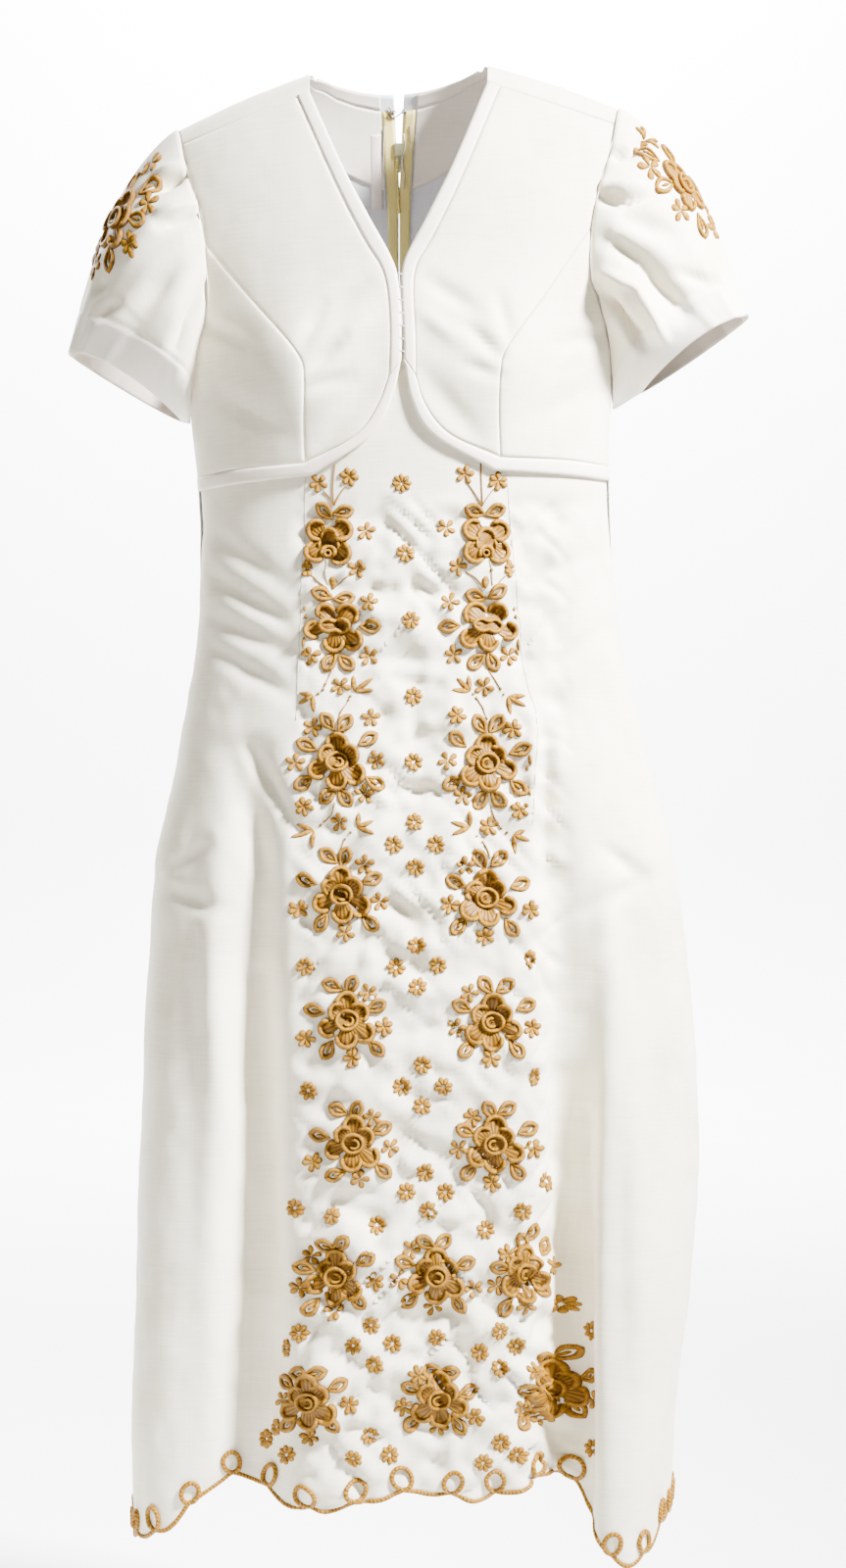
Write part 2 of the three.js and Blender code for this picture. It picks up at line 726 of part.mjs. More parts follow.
// A part of the back's own net, moved inside it. Columns may fall between those of the net
function insideBack(net, rows, columns, lift) {
  return rows.map((j) =>
    columns.map((column) => {
      const i = Math.min(Math.floor(column), net[j].length - 2);
      return lifted(net[j][i], lift).lerp(lifted(net[j][i + 1], lift), column - i);
    }),
  );
}

const rowsBetween = (from, to) => Array.from({ length: to - from + 1 }, (_, i) => from + i);

function addInsideBack(name, side, net, rows, columns, material) {
  const face = (lift) => drawIn(facing(side, insideBack(net, rows, columns, lift)), SEAM_GAP / 2);
  const outer = -CLOTH - SEAM_GAP;
  addPiece(name, slab(face(outer), face(outer - LINING_CLOTH), false), material);
}

function addDressBack(side, suffix) {
  const net = backNet(side);
  const neckRow = net.length - 1;
  const bindingRow = neckRow - 1;
  const facingRow = bindingRow - BACK_FACING_ROWS;
  const bandColumns = [FACING_EDGE_SHARE, ...rowsBetween(1, BACK_FACING_COLUMNS)];
  const tapeRows = rowsBetween(bindingRow - ZIP_ROWS, bindingRow);
  addPanel(`dress_back_${suffix}`, facing(side, net), -CLOTH, CLOTH, CREAM);
  addInsideBack(`back_facing_${suffix}`, side, net, rowsBetween(facingRow, bindingRow), bandColumns, IVORY);
  addInsideBack(`back_neck_binding_${suffix}`, side, net, [bindingRow, neckRow], bandColumns, IVORY);
  addInsideBack(`zip_tape_${suffix}`, side, net, tapeRows, [ZIP_EDGE_SHARE, ZIP_TAPE_SHARE], YELLOW);
}

// Zip slider and its pull tab

const wasm = await Module();
wasm.setup();

function solidOf(geometry) {
  const bare = geometry.clone();
  bare.deleteAttribute("normal");
  bare.deleteAttribute("uv");
  const merged = mergeVertices(bare, 1e-4);
  const vertProperties = merged.attributes.position.array;
  return new wasm.Manifold(new wasm.Mesh({ numProp: 3, vertProperties, triVerts: merged.index.array }));
}

function joined(geometries) {
  const mesh = geometries.map(solidOf).reduce((a, b) => a.add(b)).getMesh();
  const geometry = new THREE.BufferGeometry();
  geometry.setAttribute("position", new THREE.BufferAttribute(mesh.vertProperties, 3));
  geometry.setIndex(new THREE.BufferAttribute(mesh.triVerts, 1));
  geometry.computeVertexNormals();
  return geometry;
}

// The flat facet of the centre back that carries the slider: X across, Y up along it and Z out of it
function sliderPlace() {
  const net = backNet(-1);
  const low = lifted(net[net.length - 1 - SLIDER_FACET][0], 0);
  const high = lifted(net[net.length - SLIDER_FACET][0], 0);
  const other = backNet(1);
  const lowRight = lifted(other[net.length - 1 - SLIDER_FACET][0], 0);
  const highRight = lifted(other[net.length - SLIDER_FACET][0], 0);
  const place = new THREE.Group();
  place.position.copy(low).add(high).add(lowRight).add(highRight).divideScalar(4);
  const up = high.clone().add(highRight).sub(low).sub(lowRight).normalize();
  const across = new THREE.Vector3(-1, 0, 0).addScaledVector(up, up.x).normalize();
  const out = across.clone().cross(up);
  place.quaternion.setFromRotationMatrix(new THREE.Matrix4().makeBasis(across, up, out));
  return place;
}

function rectangle(low, high) {
  return [low, new THREE.Vector2(high.x, low.y), high, new THREE.Vector2(low.x, high.y)];
}

const v2 = (x, y) => new THREE.Vector2(x, y);

function sliderGeometry() {
  const under = -CLOTH - SEAM_GAP - LINING_CLOTH - SEAM_GAP;
  const plate = new THREE.BoxGeometry(SLIDER_WIDTH, SLIDER_LENGTH, SLIDER_PLATE);
  plate.translate(0, 0, under - SLIDER_PLATE / 2);
  const low = under - SLIDER_PLATE / 2;
  const outline = new THREE.Shape(rectangle(v2(-BRIDGE_REACH, low), v2(BRIDGE_REACH, BRIDGE_HEIGHT)));
  const inset = BRIDGE_REACH - BRIDGE_BAR;
  outline.holes.push(new THREE.Path(rectangle(v2(-inset, EYE_LOW), v2(inset, EYE_HIGH))));
  const bridge = new THREE.ExtrudeGeometry(outline, { depth: BRIDGE_WIDTH, bevelEnabled: false });
  bridge.translate(0, 0, -BRIDGE_WIDTH / 2);
  bridge.applyMatrix4(new THREE.Matrix4().makeBasis(
    new THREE.Vector3(0, 1, 0),
    new THREE.Vector3(0, 0, 1),
    new THREE.Vector3(1, 0, 0),
  ));
  return joined([plate, bridge]);
}

// The tab's cross bar lies under the bridge and turns there
const PULL_AXIS_HEIGHT = (EYE_LOW + EYE_HIGH) / 2;

function pullGeometry() {
  const half = PULL_WIDTH / 2;
  const bar = PULL_THICKNESS / 2;
  const outline = new THREE.Shape();
  outline.moveTo(-half, bar);
  outline.lineTo(-half, half - PULL_LENGTH);
  outline.absarc(0, half - PULL_LENGTH, half, Math.PI, 2 * Math.PI, false);
  outline.lineTo(half, bar);
  const eyeHalf = PULL_EYE_WIDTH / 2;
  outline.holes.push(new THREE.Path(rectangle(v2(-eyeHalf, -bar - PULL_EYE_LENGTH), v2(eyeHalf, -bar))));
  const tab = new THREE.ExtrudeGeometry(outline, {
    depth: PULL_THICKNESS,
    bevelEnabled: false,
    curveSegments: PULL_ROUND_STEPS,
  });
  tab.translate(0, 0, PULL_AXIS_HEIGHT - bar);
  return tab;
}

function addZipFittings() {
  const place = sliderPlace();
  dress.add(place);
  const slider = new THREE.Mesh(sliderGeometry(), ZIP_METAL);
  slider.name = "zip_slider";
  const pull = new THREE.Mesh(pullGeometry(), ZIP_METAL);
  pull.name = "zip_pull";
  place.add(slider, pull);
}

// Sleeves: a ring of places round the armhole, swept out to the cuff

function armholeRing(side) {
  const frontTop = line("front", side, ARMHOLE_TOP, TOP_ROWS);
  const frontLow = line("front", side, ARMHOLE_LOW, SIDE_COLUMNS, true);
  frontLow[SIDE_COLUMNS] = [side * 90, UNDERARM_Z - ARCH_BASE];
  const back = backOuterEdge(side).slice(SKIRT_ROWS + 1, -1);
  return [...frontTop, ...frontLow.slice(1), ...back].map((spot) => lifted(spot, SLEEVE_LIFT));
}

// The turn of each ring point about the sleeve, from the top through the front, by the length of the ring
function ringTurns(ring, underarm) {
  const lengths = ring.map((at, i) => at.distanceTo(ring[(i + 1) % ring.length]));
  const front = lengths.slice(0, underarm).reduce((a, b) => a + b, 0);
  const back = lengths.slice(underarm).reduce((a, b) => a + b, 0);
  let run = 0;
  return ring.map((_, i) => {
    const turn = i <= underarm ? (180 * run) / front : 180 + (180 * (run - front)) / back;
    run += lengths[i];
    return turn;
  });
}

function cuffPoint(sleeve, turn) {
  const toOuter = Math.cos(rad(turn));
  const forward = Math.sin(rad(turn));
  const middleX = (sleeve.outX + sleeve.inX) / 2;
  const middleZ = (sleeve.outZ + sleeve.inZ) / 2;
  const back = (CUFF_BACK_SHIFT * (1 - toOuter)) / 2;
  const lift = forward > 0 ? CUFF_FRONT_LIFT * forward * forward : 0;
  return new THREE.Vector3(
    middleX + ((sleeve.outX - sleeve.inX) / 2) * toOuter,
    back - sleeve.depth * forward,
    middleZ + ((sleeve.outZ - sleeve.inZ) / 2) * toOuter + lift,
  );
}

const ripple = (rows, turn) =>
  rows.reduce((sum, row) => sum + row.depth * bell(apart(turn, row.turn) / row.width), 0);

function sleevePoint(sleeve, start, turn, t) {
  const up = Math.max(Math.cos(rad(turn)), 0);
  const forward = Math.sin(rad(turn));
  const outward = new THREE.Vector3(sleeve.side * 0.75 * up, -PUFF_FORWARD * forward, 0.6 * up);
  const puff = sleeve.puff * Math.sin(Math.PI * t ** 0.8);
  const pleat = ripple(PLEATS, turn) * bell((t - 0.12) / 0.25) * smooth(t / 0.12);
  const tuck = ripple(TUCKS, turn) * smooth((t - 0.6) / 0.4);
  return start
    .clone()
    .lerp(cuffPoint(sleeve, turn), t)
    .addScaledVector(outward, puff + pleat + tuck);
}

// Moves a ring net out along its normals
function netNormals(net) {
  const columns = net[0].length;
  return net.map((row, j) =>
    row.map((_, i) => {
      const round = row[(i + 1) % columns].clone().sub(row[(i + columns - 1) % columns]);
      const up = net[Math.min(j + 1, net.length - 1)][i].clone().sub(net[Math.max(j - 1, 0)][i]);
      return round.cross(up).normalize();
    }),
  );
}

function addSleeve(sleeve) {
  const ring = armholeRing(sleeve.side);
  const turns = ringTurns(ring, TOP_ROWS + SIDE_COLUMNS);
  const net = steps(SLEEVE_ROWS).map((t) => ring.map((start, i) => sleevePoint(sleeve, start, turns[i], t)));
  const ordered = sleeve.side < 0 ? net : net.map((row) => [...row].reverse());
  const normals = netNormals(ordered);
  const face = (lift) =>
    ordered.map((row, j) => row.map((at, i) => at.clone().addScaledVector(normals[j][i], lift)));
  addPiece(sleeve.name, slab(face(CLOTH / 2), face(-CLOTH / 2), true), CREAM);
}

// Raised roses, laid on the dress front from its own points

function roseGeometry(place) {
  const petalled = (turn) => 1 + 0.1 * Math.cos(ROSE_PETALS * turn);
  const [angle, height] = seen("front", place.x, place.z);
  const perDegree = surface(angle + 0.5, height).distanceTo(surface(angle - 0.5, height));
  const seat = place.seat ?? ROSE_SEAT;
  const at = (share, turn, lift) => {
    const reach = ROSE_RADIUS * share * petalled(turn);
    return onFront([angle + (reach * Math.cos(turn)) / perDegree, height + reach * Math.sin(turn)], lift);
  };
  const turns = steps(ROSE_STEPS).slice(0, -1).map((t) => t * 2 * Math.PI);
  const rings = ROSE_RINGS.map((ring) => turns.map((turn) => at(ring.share, turn, seat + ring.height)));
  const points = rings.flat();
  const foot = points.push(at(0, 0, seat)) - 1;
  const crown = points.push(at(0, 0, seat + ROSE_RINGS.at(-1).height)) - 1;
  const index = [];
  for (let i = 0; i < ROSE_STEPS; i += 1) {
    const next = (i + 1) % ROSE_STEPS;
    index.push(foot, next, i);
    for (let ring = 0; ring < ROSE_RINGS.length - 1; ring += 1) {
      const low = ring * ROSE_STEPS;
      const high = low + ROSE_STEPS;
      index.push(low + i, low + next, high + next, low + i, high + next, high + i);
    }
    const top = (ROSE_RINGS.length - 1) * ROSE_STEPS;
    index.push(crown, top + i, top + next);
  }
  return geometryOf(points, index);
}

// The cord that edges the hem, just below the lowest row of a panel's net
function addCord(name, row) {
  const middle = -CLOTH / 2;
  const at = (out, down) => row.map((spot) => lifted(spot, out).add(new THREE.Vector3(0, 0, -down)));
  const face = (out) => drawIn([at(out, CORD_GAP + CORD_WIDTH), at(out, CORD_GAP)], SEAM_GAP / 2);
  addPiece(name, slab(face(middle + CORD_WIDTH / 2), face(middle - CORD_WIDTH / 2), false), GOLD);
}

const SIDES = [
  { side: -1, suffix: "left" },
  { side: 1, suffix: "right" },
];

addPanel("dress_front", FRONT_NET, frontLift, CLOTH, CREAM);
addCord("hem_cord_front", FRONT_NET[0]);
for (const { side, suffix } of SIDES) {
  addBolero(side, suffix);
  addDressBack(side, suffix);
  addCord(`hem_cord_${suffix}`, facing(side, [backNet(side)[0]])[0]);
}
addZipFittings();
for (const sleeve of SLEEVES) addSleeve(sleeve);
for (const rose of ROSES) addPiece(rose.name, roseGeometry(rose), GOLD);

export default dress;
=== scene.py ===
"""Embroidered maxi dress with a mock bolero bodice, hanging filled out and hollow from its shoulders.

Lengths are in millimetres up to the meshes, which are in metres. +Z is up and the front is towards -Y. The
whole dress is one surface with two coordinates, the same as in the part's source: the angle runs round it
in degrees from centre front, and the height is z above ARCH_BASE, then the way up and over the shoulder.
Every panel is a fine patch of that surface, and every layer is the patch moved out along its normals.
"""

import math

import bpy
import numpy as np
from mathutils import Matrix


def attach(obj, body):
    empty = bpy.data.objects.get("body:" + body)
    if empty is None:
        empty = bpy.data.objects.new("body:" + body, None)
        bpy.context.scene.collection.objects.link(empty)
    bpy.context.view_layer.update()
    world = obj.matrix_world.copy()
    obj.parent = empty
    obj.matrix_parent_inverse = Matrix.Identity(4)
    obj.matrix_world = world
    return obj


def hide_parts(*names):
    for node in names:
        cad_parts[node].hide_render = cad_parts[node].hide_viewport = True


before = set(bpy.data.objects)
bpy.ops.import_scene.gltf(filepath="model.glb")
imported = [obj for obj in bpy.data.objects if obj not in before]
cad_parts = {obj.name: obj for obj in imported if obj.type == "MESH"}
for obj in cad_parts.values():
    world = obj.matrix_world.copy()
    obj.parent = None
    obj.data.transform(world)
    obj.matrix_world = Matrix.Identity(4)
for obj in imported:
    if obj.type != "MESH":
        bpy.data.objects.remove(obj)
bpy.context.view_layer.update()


def table(columns, *rows):
    """Rows of values as dicts, by the names of their columns."""
    return [dict(zip(columns.split(), row)) for row in rows]


MM = 0.001
CLOTH = 1.2
SEAM_GAP = 0.3
BOLERO_LOFT = 1.8
UNDER_BOLERO = 3
UNDER_BOLERO_TO_Z = -465
UNDER_BOLERO_RUN = 85
BINDING_CLOTH = 1.6
LINING_CLOTH = 0.8
SLEEVE_LIFT = 1.5

# The photograph's frame: its size in pixels, the scale at the plane of the side seams, and its origin
PHOTO_WIDTH = 863
PHOTO_HEIGHT = 1600
MM_PER_PIXEL = 0.915
CENTER_PX = 413
SHOULDER_PX = 100
EYE_DISTANCE = 2600
EYE_X = (PHOTO_WIDTH / 2 - CENTER_PX) * MM_PER_PIXEL
EYE_Z = (SHOULDER_PX - PHOTO_HEIGHT / 2) * MM_PER_PIXEL
CAD_EYE_X = 17
CAD_EYE_Z = -640
AIM_ROUNDS = 8
MM_PER_DEGREE = 3.3

SECTIONS = table(
    "z left right front back",
    (-1400, -247, 244, 116, 106), (-1226, -251, 252, 112, 102), (-1116, -248, 265, 110, 99),
    (-1006, -246, 274, 107, 96), (-897, -243, 272, 103, 93), (-787, -238, 262, 99, 90),
    (-714, -233, 252, 96, 87), (-640, -217, 232, 90, 82), (-567, -204, 214, 84, 77),
    (-494, -193, 199, 80, 72), (-384, -192, 192, 80, 70), (-300, -199, 192, 84, 72),
    (-225, -211, 207, 86, 75), (-150, -234, 222, 82, 74),
)
ARCH_BASE = -150
RIDGE = table(
    "out z",
    (0, 48), (83, 25), (150, 2), (215, -26), (240, -38),
)
TILT = table(
    "z slope",
    (-620, 0), (-340, 0.028), (-120, 0.045), (60, 0.05),
)
BUST = dict(angle=27, spread=15, z=-262, z_spread=58, depth=13)
FOLDS = table(
    "angle width depth lean start full",
    (-63, 16, 18, 0, -560, -1250), (-36, 9, -30, -4, -600, -1180), (-14, 8, 5, 0, -700, -1250),
    (5, 9, -5, 0, -900, -1300), (36, 8, -34, 0, -640, -1180), (55, 11, 25, -15, -860, -1250),
    (112, 11, 15, 0, -620, -1250), (137, 9, -24, 0, -600, -1200), (161, 9, 12, 0, -720, -1280),
    (-114, 12, 16, 0, -640, -1250), (-139, 8, -22, 0, -560, -1200), (-163, 9, 11, 0, -760, -1280),
)
HEM = table(
    "angle z",
    (-180, -1290), (-140, -1283), (-112, -1300), (-85, -1330), (-66, -1325), (-56, -1314), (-44, -1275),
    (-36, -1270), (-20, -1290), (2, -1273), (17, -1281), (36, -1266), (42, -1286), (50, -1336), (60, -1338),
    (72, -1318), (90, -1312), (112, -1302), (140, -1284), (180, -1290),
)
SCALLOPS_FRONT = 18
SCALLOPS_BACK_HALF = 9
SCALLOP_DEPTH = 5

# Front-view lines of the left half as (distance from the centre line, level)
ARMHOLE_TOP = [(202, -34), (197, -60), (185, -100), (180, -129)]
ARMHOLE_LOW = [(180, -129), (179, -174), (183, -197), (190, -222), (195, -262), (196.5, -297)]
PRINCESS = [(180, -129), (139, -183), (95, -241), (92, -256), (91, -338)]
SHOULDER_SEAM = [(202, -34), (95, 6)]
NECK_SEAM = [(95, 6), (54, -87), (30, -134), (16.5, -157), (12.3, -176), (12.5, -259)]
NECK_EDGE = [(83, 10.5), (49, -67), (28, -108), (4, -155), (1, -176), (1, -243)]
CURVE_SEAM = [(12.5, -259), (22, -286), (42, -313), (91, -338)]
CURVE_EDGE = [(1, -243), (8, -278), (24, -310), (84, -350)]
SIDE_SEAM_LOW = [(91, -338), (159, -343), (197, -350)]
SIDE_EDGE_LOW = [(84, -350), (158, -357), (197, -363)]
BACK_NECK = [(2, 3), (30, 6), (60, 15), (84, 27)]
ARMHOLE_BACK = [(196.5, -297), (193, -262), (184, -215), (179, -165), (184, -110), (198, -55), (208, -29)]
BACK_BINDING_DEPTH = 15
BACK_FACING_DEPTH = 72
FRONT_TOP_CENTER_Z = -225
UNDERARM_Z = -297
ZIP_OPENING = table(
    "below half",
    (0, 4.2), (15, 3.2), (34, 2.2), (53, 1.4), (72, 0), (73, 0),
)
SLEEVES = [
    dict(name="sleeve_left", side=-1, outX=-313, outZ=-240, inX=-209, inZ=-300, depth=46, puff=25),
    dict(name="sleeve_right", side=1, outX=320, outZ=-206, inX=222, inZ=-272, depth=46, puff=24),
]
CUFF_BACK_SHIFT = 14
CUFF_FRONT_LIFT = 10
PUFF_OUT = 0.75
PUFF_FORWARD = 0.75
PUFF_UP = 0.6
PLEATS = table(
    "turn width depth",
    (42, 9, 6), (68, 9, 6), (292, 9, 5), (318, 9, 5),
)
TUCKS = table(
    "turn width depth",
    (22, 4, 2.6), (48, 4, 2.6), (74, 4, 2.6), (286, 4, 2.6), (312, 4, 2.6), (338, 4, 2.6),
)


def smooth(t):
    t = np.clip(t, 0, 1)
    return t * t * (3 - 2 * t)


def bell(t):
    return np.exp(-np.square(t))


def read(table, by, key, at):
    """One column of a table between its rows, on a smooth curve."""
    xs = np.array([row[by] for row in table], float)
    ys = np.array([row[key] for row in table], float)
    last = len(xs) - 1
    before = np.maximum(np.arange(last + 1) - 1, 0)
    after = np.minimum(np.arange(last + 1) + 1, last)
    slopes = (ys[after] - ys[before]) / (xs[after] - xs[before])
    at = np.asarray(at, float)
    row = np.clip(np.searchsorted(xs, at, side="left") - 1, 0, last - 1)
    span = xs[row + 1] - xs[row]
    rise = ys[row + 1] - ys[row]
    t = np.clip((at - xs[row]) / span, 0, 1)
    a = slopes[row] * span - rise
    b = rise - slopes[row + 1] * span
    return ys[row] + rise * t + t * (1 - t) * (a * (1 - t) + b * t)


def sides_at(level):
    left = read(SECTIONS, "z", "left", level)
    right = read(SECTIONS, "z", "right", level)
    return (left + right) / 2, (right - left) / 2


def ridge_rise(out):
    return read(RIDGE, "out", "z", np.abs(out)) - ARCH_BASE


def apart(a, b):
    return (a - b + 540) % 360 - 180


def surface(angle, height):
    """Points of the dress's surface, an array of (x, y, z)."""
    angle, height = np.broadcast_arrays(np.asarray(angle, float), np.asarray(height, float))
    level = np.minimum(height, 0) + ARCH_BASE
    center, half = sides_at(level)
    turn = np.radians(angle)
    out = half * np.sin(turn)
    rise = ridge_rise(out)
    over = np.where(height > 0, math.pi / 2 * height / rise, 0)
    z = np.where(height > 0, ARCH_BASE + rise * np.sin(over), level)
    arch = np.cos(over)
    back = np.abs(angle) > 90
    in_back = back == (arch >= 0)
    depth = np.where(in_back, read(SECTIONS, "z", "back", level), read(SECTIONS, "z", "front", level))
    outward = np.stack([np.sin(turn) / half, -np.cos(turn) / depth, np.zeros_like(turn)], -1)
    outward /= np.linalg.norm(outward, axis=-1, keepdims=True)
    along = np.stack([-outward[..., 1], outward[..., 0], np.zeros_like(turn)], -1)
    push = np.zeros_like(turn)
    lean = np.zeros_like(turn)
    for fold in FOLDS:
        share = bell(apart(angle, fold["angle"]) / fold["width"])
        share = share * smooth((fold["start"] - level) / (fold["start"] - fold["full"]))
        push += fold["depth"] * share
        lean += fold["lean"] * share
    near = bell((angle - BUST["angle"]) / BUST["spread"]) + bell((angle + BUST["angle"]) / BUST["spread"])
    push += BUST["depth"] * bell((z - BUST["z"]) / BUST["z_spread"]) * near
    tilt = read(TILT, "z", "slope", z) * out
    at = np.stack([center + out, -depth * np.cos(turn) * arch, z + tilt], -1)
    return at + outward * push[..., None] + along * lean[..., None]


def normals(angle, height):
    angle, height = np.broadcast_arrays(np.asarray(angle, float), np.asarray(height, float))
    around = surface(angle + 0.4, height) - surface(angle - 0.4, height)
    up = surface(angle, height + 1) - surface(angle, height - 1)
    normal = np.cross(around, up)
    return normal / np.linalg.norm(normal, axis=-1, keepdims=True)


def spot_of(face, x, z):
    center, half = sides_at(np.minimum(z, ARCH_BASE))
    out = np.clip(x - center, -half, half)
    turned = np.degrees(np.arcsin(out / half))
    angle = turned if face == "front" else np.where(out < 0, -180.0, 180.0) - turned
    level = z - read(TILT, "z", "slope", z) * out
    rise = ridge_rise(out)
    over = np.arcsin(np.clip((level - ARCH_BASE) / rise, 0, 1)) / (math.pi / 2)
    above = rise * (2 - over if face == "over" else over)
    return angle, np.where(level <= ARCH_BASE, level - ARCH_BASE, above)


def seen(face, x, z):
    """The surface's coordinates where the eye sees (x, z) in the plane of the sides."""
    x = np.asarray(x, float)
    z = np.asarray(z, float)
    aim_x = x.copy()
    aim_z = z.copy()
    angle, height = spot_of(face, aim_x, aim_z)
    for _ in range(AIM_ROUNDS):
        at = surface(angle, height)
        near = (EYE_DISTANCE + at[..., 1]) / EYE_DISTANCE
        aim_x = aim_x + CAD_EYE_X + (x - CAD_EYE_X) * near - at[..., 0]
        aim_z = aim_z + CAD_EYE_Z + (z - CAD_EYE_Z) * near - at[..., 2]
        angle, height = spot_of(face, aim_x, aim_z)
    return angle, height


def side_spot(face, side, out, z):
    center, _ = sides_at(np.minimum(z, ARCH_BASE))
    drop = read(TILT, "z", "slope", z) * side * out
    return seen(face, center + side * out, z + drop)


# Which knots each round of the curve's blend spans
BLEND_SPANS = {1: [(0, 1), (1, 2), (2, 3)], 2: [(0, 2), (1, 3)], 3: [(1, 2)]}


def curve(points, count):
    """A centripetal Catmull-Rom curve through the points, as count + 1 places."""
    points = np.array(points, float)
    ends = 2 * points[[0, -1]] - points[[1, -2]]
    padded = np.vstack([ends[:1], points, ends[1:]])
    places = []
    for share in np.linspace(0, len(points) - 1, count + 1):
        i = min(int(share), len(points) - 2)
        level = padded[i : i + 4]
        knots = np.concatenate([[0], np.cumsum(np.sqrt(np.linalg.norm(np.diff(level, axis=0), axis=1)))])
        t = knots[1] + (knots[2] - knots[1]) * (share - i)
        for spans in BLEND_SPANS.values():
            level = np.array(
                [
                    (level[k] * (knots[b] - t) + level[k + 1] * (t - knots[a])) / (knots[b] - knots[a])
                    for k, (a, b) in enumerate(spans)
                ]
            )
        places.append(level[0])
    return np.array(places)


def respaced(path, count):
    """count + 1 places evenly along a path."""
    run = np.concatenate([[0], np.cumsum(np.linalg.norm(np.diff(path, axis=0), axis=1))])
    at = np.linspace(0, run[-1], count + 1)
    return np.stack([np.interp(at, run, path[:, k]) for k in range(path.shape[1])], -1)


FINE_STEPS = 60


def line(face, side, rows, count, at_side_seam=False):
    fine = curve(rows, FINE_STEPS)
    angle, height = side_spot(face, side, fine[:, 0], fine[:, 1])
    if at_side_seam:
        angle[-1] = side * 90
    path = respaced(np.stack([angle * MM_PER_DEGREE, height], -1), count)
    path[:, 0] /= MM_PER_DEGREE
    return path


def mix(a, b, count):
    t = np.linspace(0, 1, count + 1)[:, None]
    return np.asarray(a, float) * (1 - t) + np.asarray(b, float) * t


def off_chord(edge):
    return edge - mix(edge[0], edge[-1], len(edge) - 1)


def patch(bottom, top, left, right, faded_at=0):
    """Fills in between four edges whose corners meet: an array of rows and columns of (angle, height)."""
    rows = len(left) - 1
    columns = len(bottom) - 1
    u = np.linspace(0, 1, columns + 1)[None, :, None]
    v = np.linspace(0, 1, rows + 1)[:, None, None]
    share = (np.maximum(np.arange(rows + 1) - faded_at, 0) / (rows - faded_at))[:, None, None]
    across = left[:, None] * (1 - u) + right[:, None] * u
    return across + off_chord(bottom)[None] * (1 - v) + off_chord(top)[None] * share


def side_patch(side, low, high, center, outer):
    if side < 0:
        return patch(low, high, outer, center)
    return patch(low[::-1], high[::-1], center, outer)


# The panels, each drawn this many times finer than the part's own
FINE = 6
SKIRT_FINE = 14
SCALLOP_FINE = 5
TOP_ROWS = 4
PRINCESS_ROWS = 9
CENTER_COLUMNS = 7
SIDE_COLUMNS = 10
SKIRT_ROWS = 17
ARMHOLE_ROWS = 13
BACK_OVERLAP_ROWS = 3
BACK_FACING_ROWS = 3
BACK_FACING_COLUMNS = 8
ZIP_ROWS = 19
ZIP_EDGE_SHARE = 0.06
ZIP_TAPE_SHARE = 0.68
FACING_EDGE_SHARE = 0.74
UNDERARM = UNDERARM_Z - ARCH_BASE
BINDING_COLUMNS = 4


def bolero_nets(side):
    def front(rows, count, at_side_seam=False):
        return line("front", side, rows, count * FINE, at_side_seam)

    armhole_top = front(ARMHOLE_TOP, TOP_ROWS)
    princess = front(PRINCESS, PRINCESS_ROWS)
    armhole_low = front(ARMHOLE_LOW, SIDE_COLUMNS, True)
    shoulder = front(SHOULDER_SEAM, CENTER_COLUMNS)
    neck_seam = front(NECK_SEAM, TOP_ROWS + PRINCESS_ROWS)
    neck_edge = front(NECK_EDGE, TOP_ROWS + PRINCESS_ROWS)
    curve_seam = front(CURVE_SEAM, CENTER_COLUMNS)
    curve_edge = front(CURVE_EDGE, CENTER_COLUMNS)
    side_low = front(SIDE_SEAM_LOW, SIDE_COLUMNS, True)
    side_edge = front(SIDE_EDGE_LOW, SIDE_COLUMNS, True)
    underarm = np.array([side * 90, UNDERARM])
    armhole_low[-1] = underarm
    center = side_patch(
        side,
        curve_seam[::-1],
        shoulder,
        neck_seam[::-1],
        np.vstack([armhole_top, princess[1:]])[::-1],
    )
    side_seam = mix([side * 90, side_low[-1, 1]], underarm, PRINCESS_ROWS * FINE)
    panel = side_patch(side, side_low[::-1], armhole_low[::-1], princess[::-1], side_seam)
    neck = side_patch(
        side,
        mix(neck_seam[-1], neck_edge[-1], BINDING_COLUMNS),
        mix(neck_seam[0], neck_edge[0], BINDING_COLUMNS),
        neck_edge[::-1],
        neck_seam[::-1],
    )
    seam = np.vstack([curve_seam, side_low[1:]])[::-1]
    edge = np.vstack([curve_edge, side_edge[1:]])[::-1]
    hem = side_patch(
        side,
        edge,
        seam,
        mix(edge[-1], seam[-1], BINDING_COLUMNS),
        mix(edge[0], seam[0], BINDING_COLUMNS),
    )
    return {"bolero_center": center, "bolero_side": panel, "neck_binding": neck, "bolero_binding": hem}


def hem_spots(start, end, scallops, per_scallop):
    t = np.linspace(0, 1, scallops * per_scallop + 1)
    angle = start + (end - start) * t
    level = read(HEM, "angle", "z", angle) - SCALLOP_DEPTH * (np.abs(np.sin(math.pi * t * scallops)) - 0.5)
    return np.stack([angle, level - ARCH_BASE], -1)


def front_net():
    low = hem_spots(-90, 90, SCALLOPS_FRONT, 2 * SCALLOP_FINE)
    drop = (FRONT_TOP_CENTER_Z - UNDERARM_Z) * smooth(np.abs(low[:, 0]) / 90)
    high = np.stack([low[:, 0], FRONT_TOP_CENTER_Z - drop - ARCH_BASE], -1)
    rows = SKIRT_ROWS * SKIRT_FINE
    return patch(low, high, mix(low[0], [-90, UNDERARM], rows), mix(low[-1], [90, UNDERARM], rows))


def front_lift(height):
    """The inner face of the dress front, which lies further in where the bolero covers it."""
    return -CLOTH - UNDER_BOLERO * smooth((height + ARCH_BASE - UNDER_BOLERO_TO_Z) / UNDER_BOLERO_RUN)


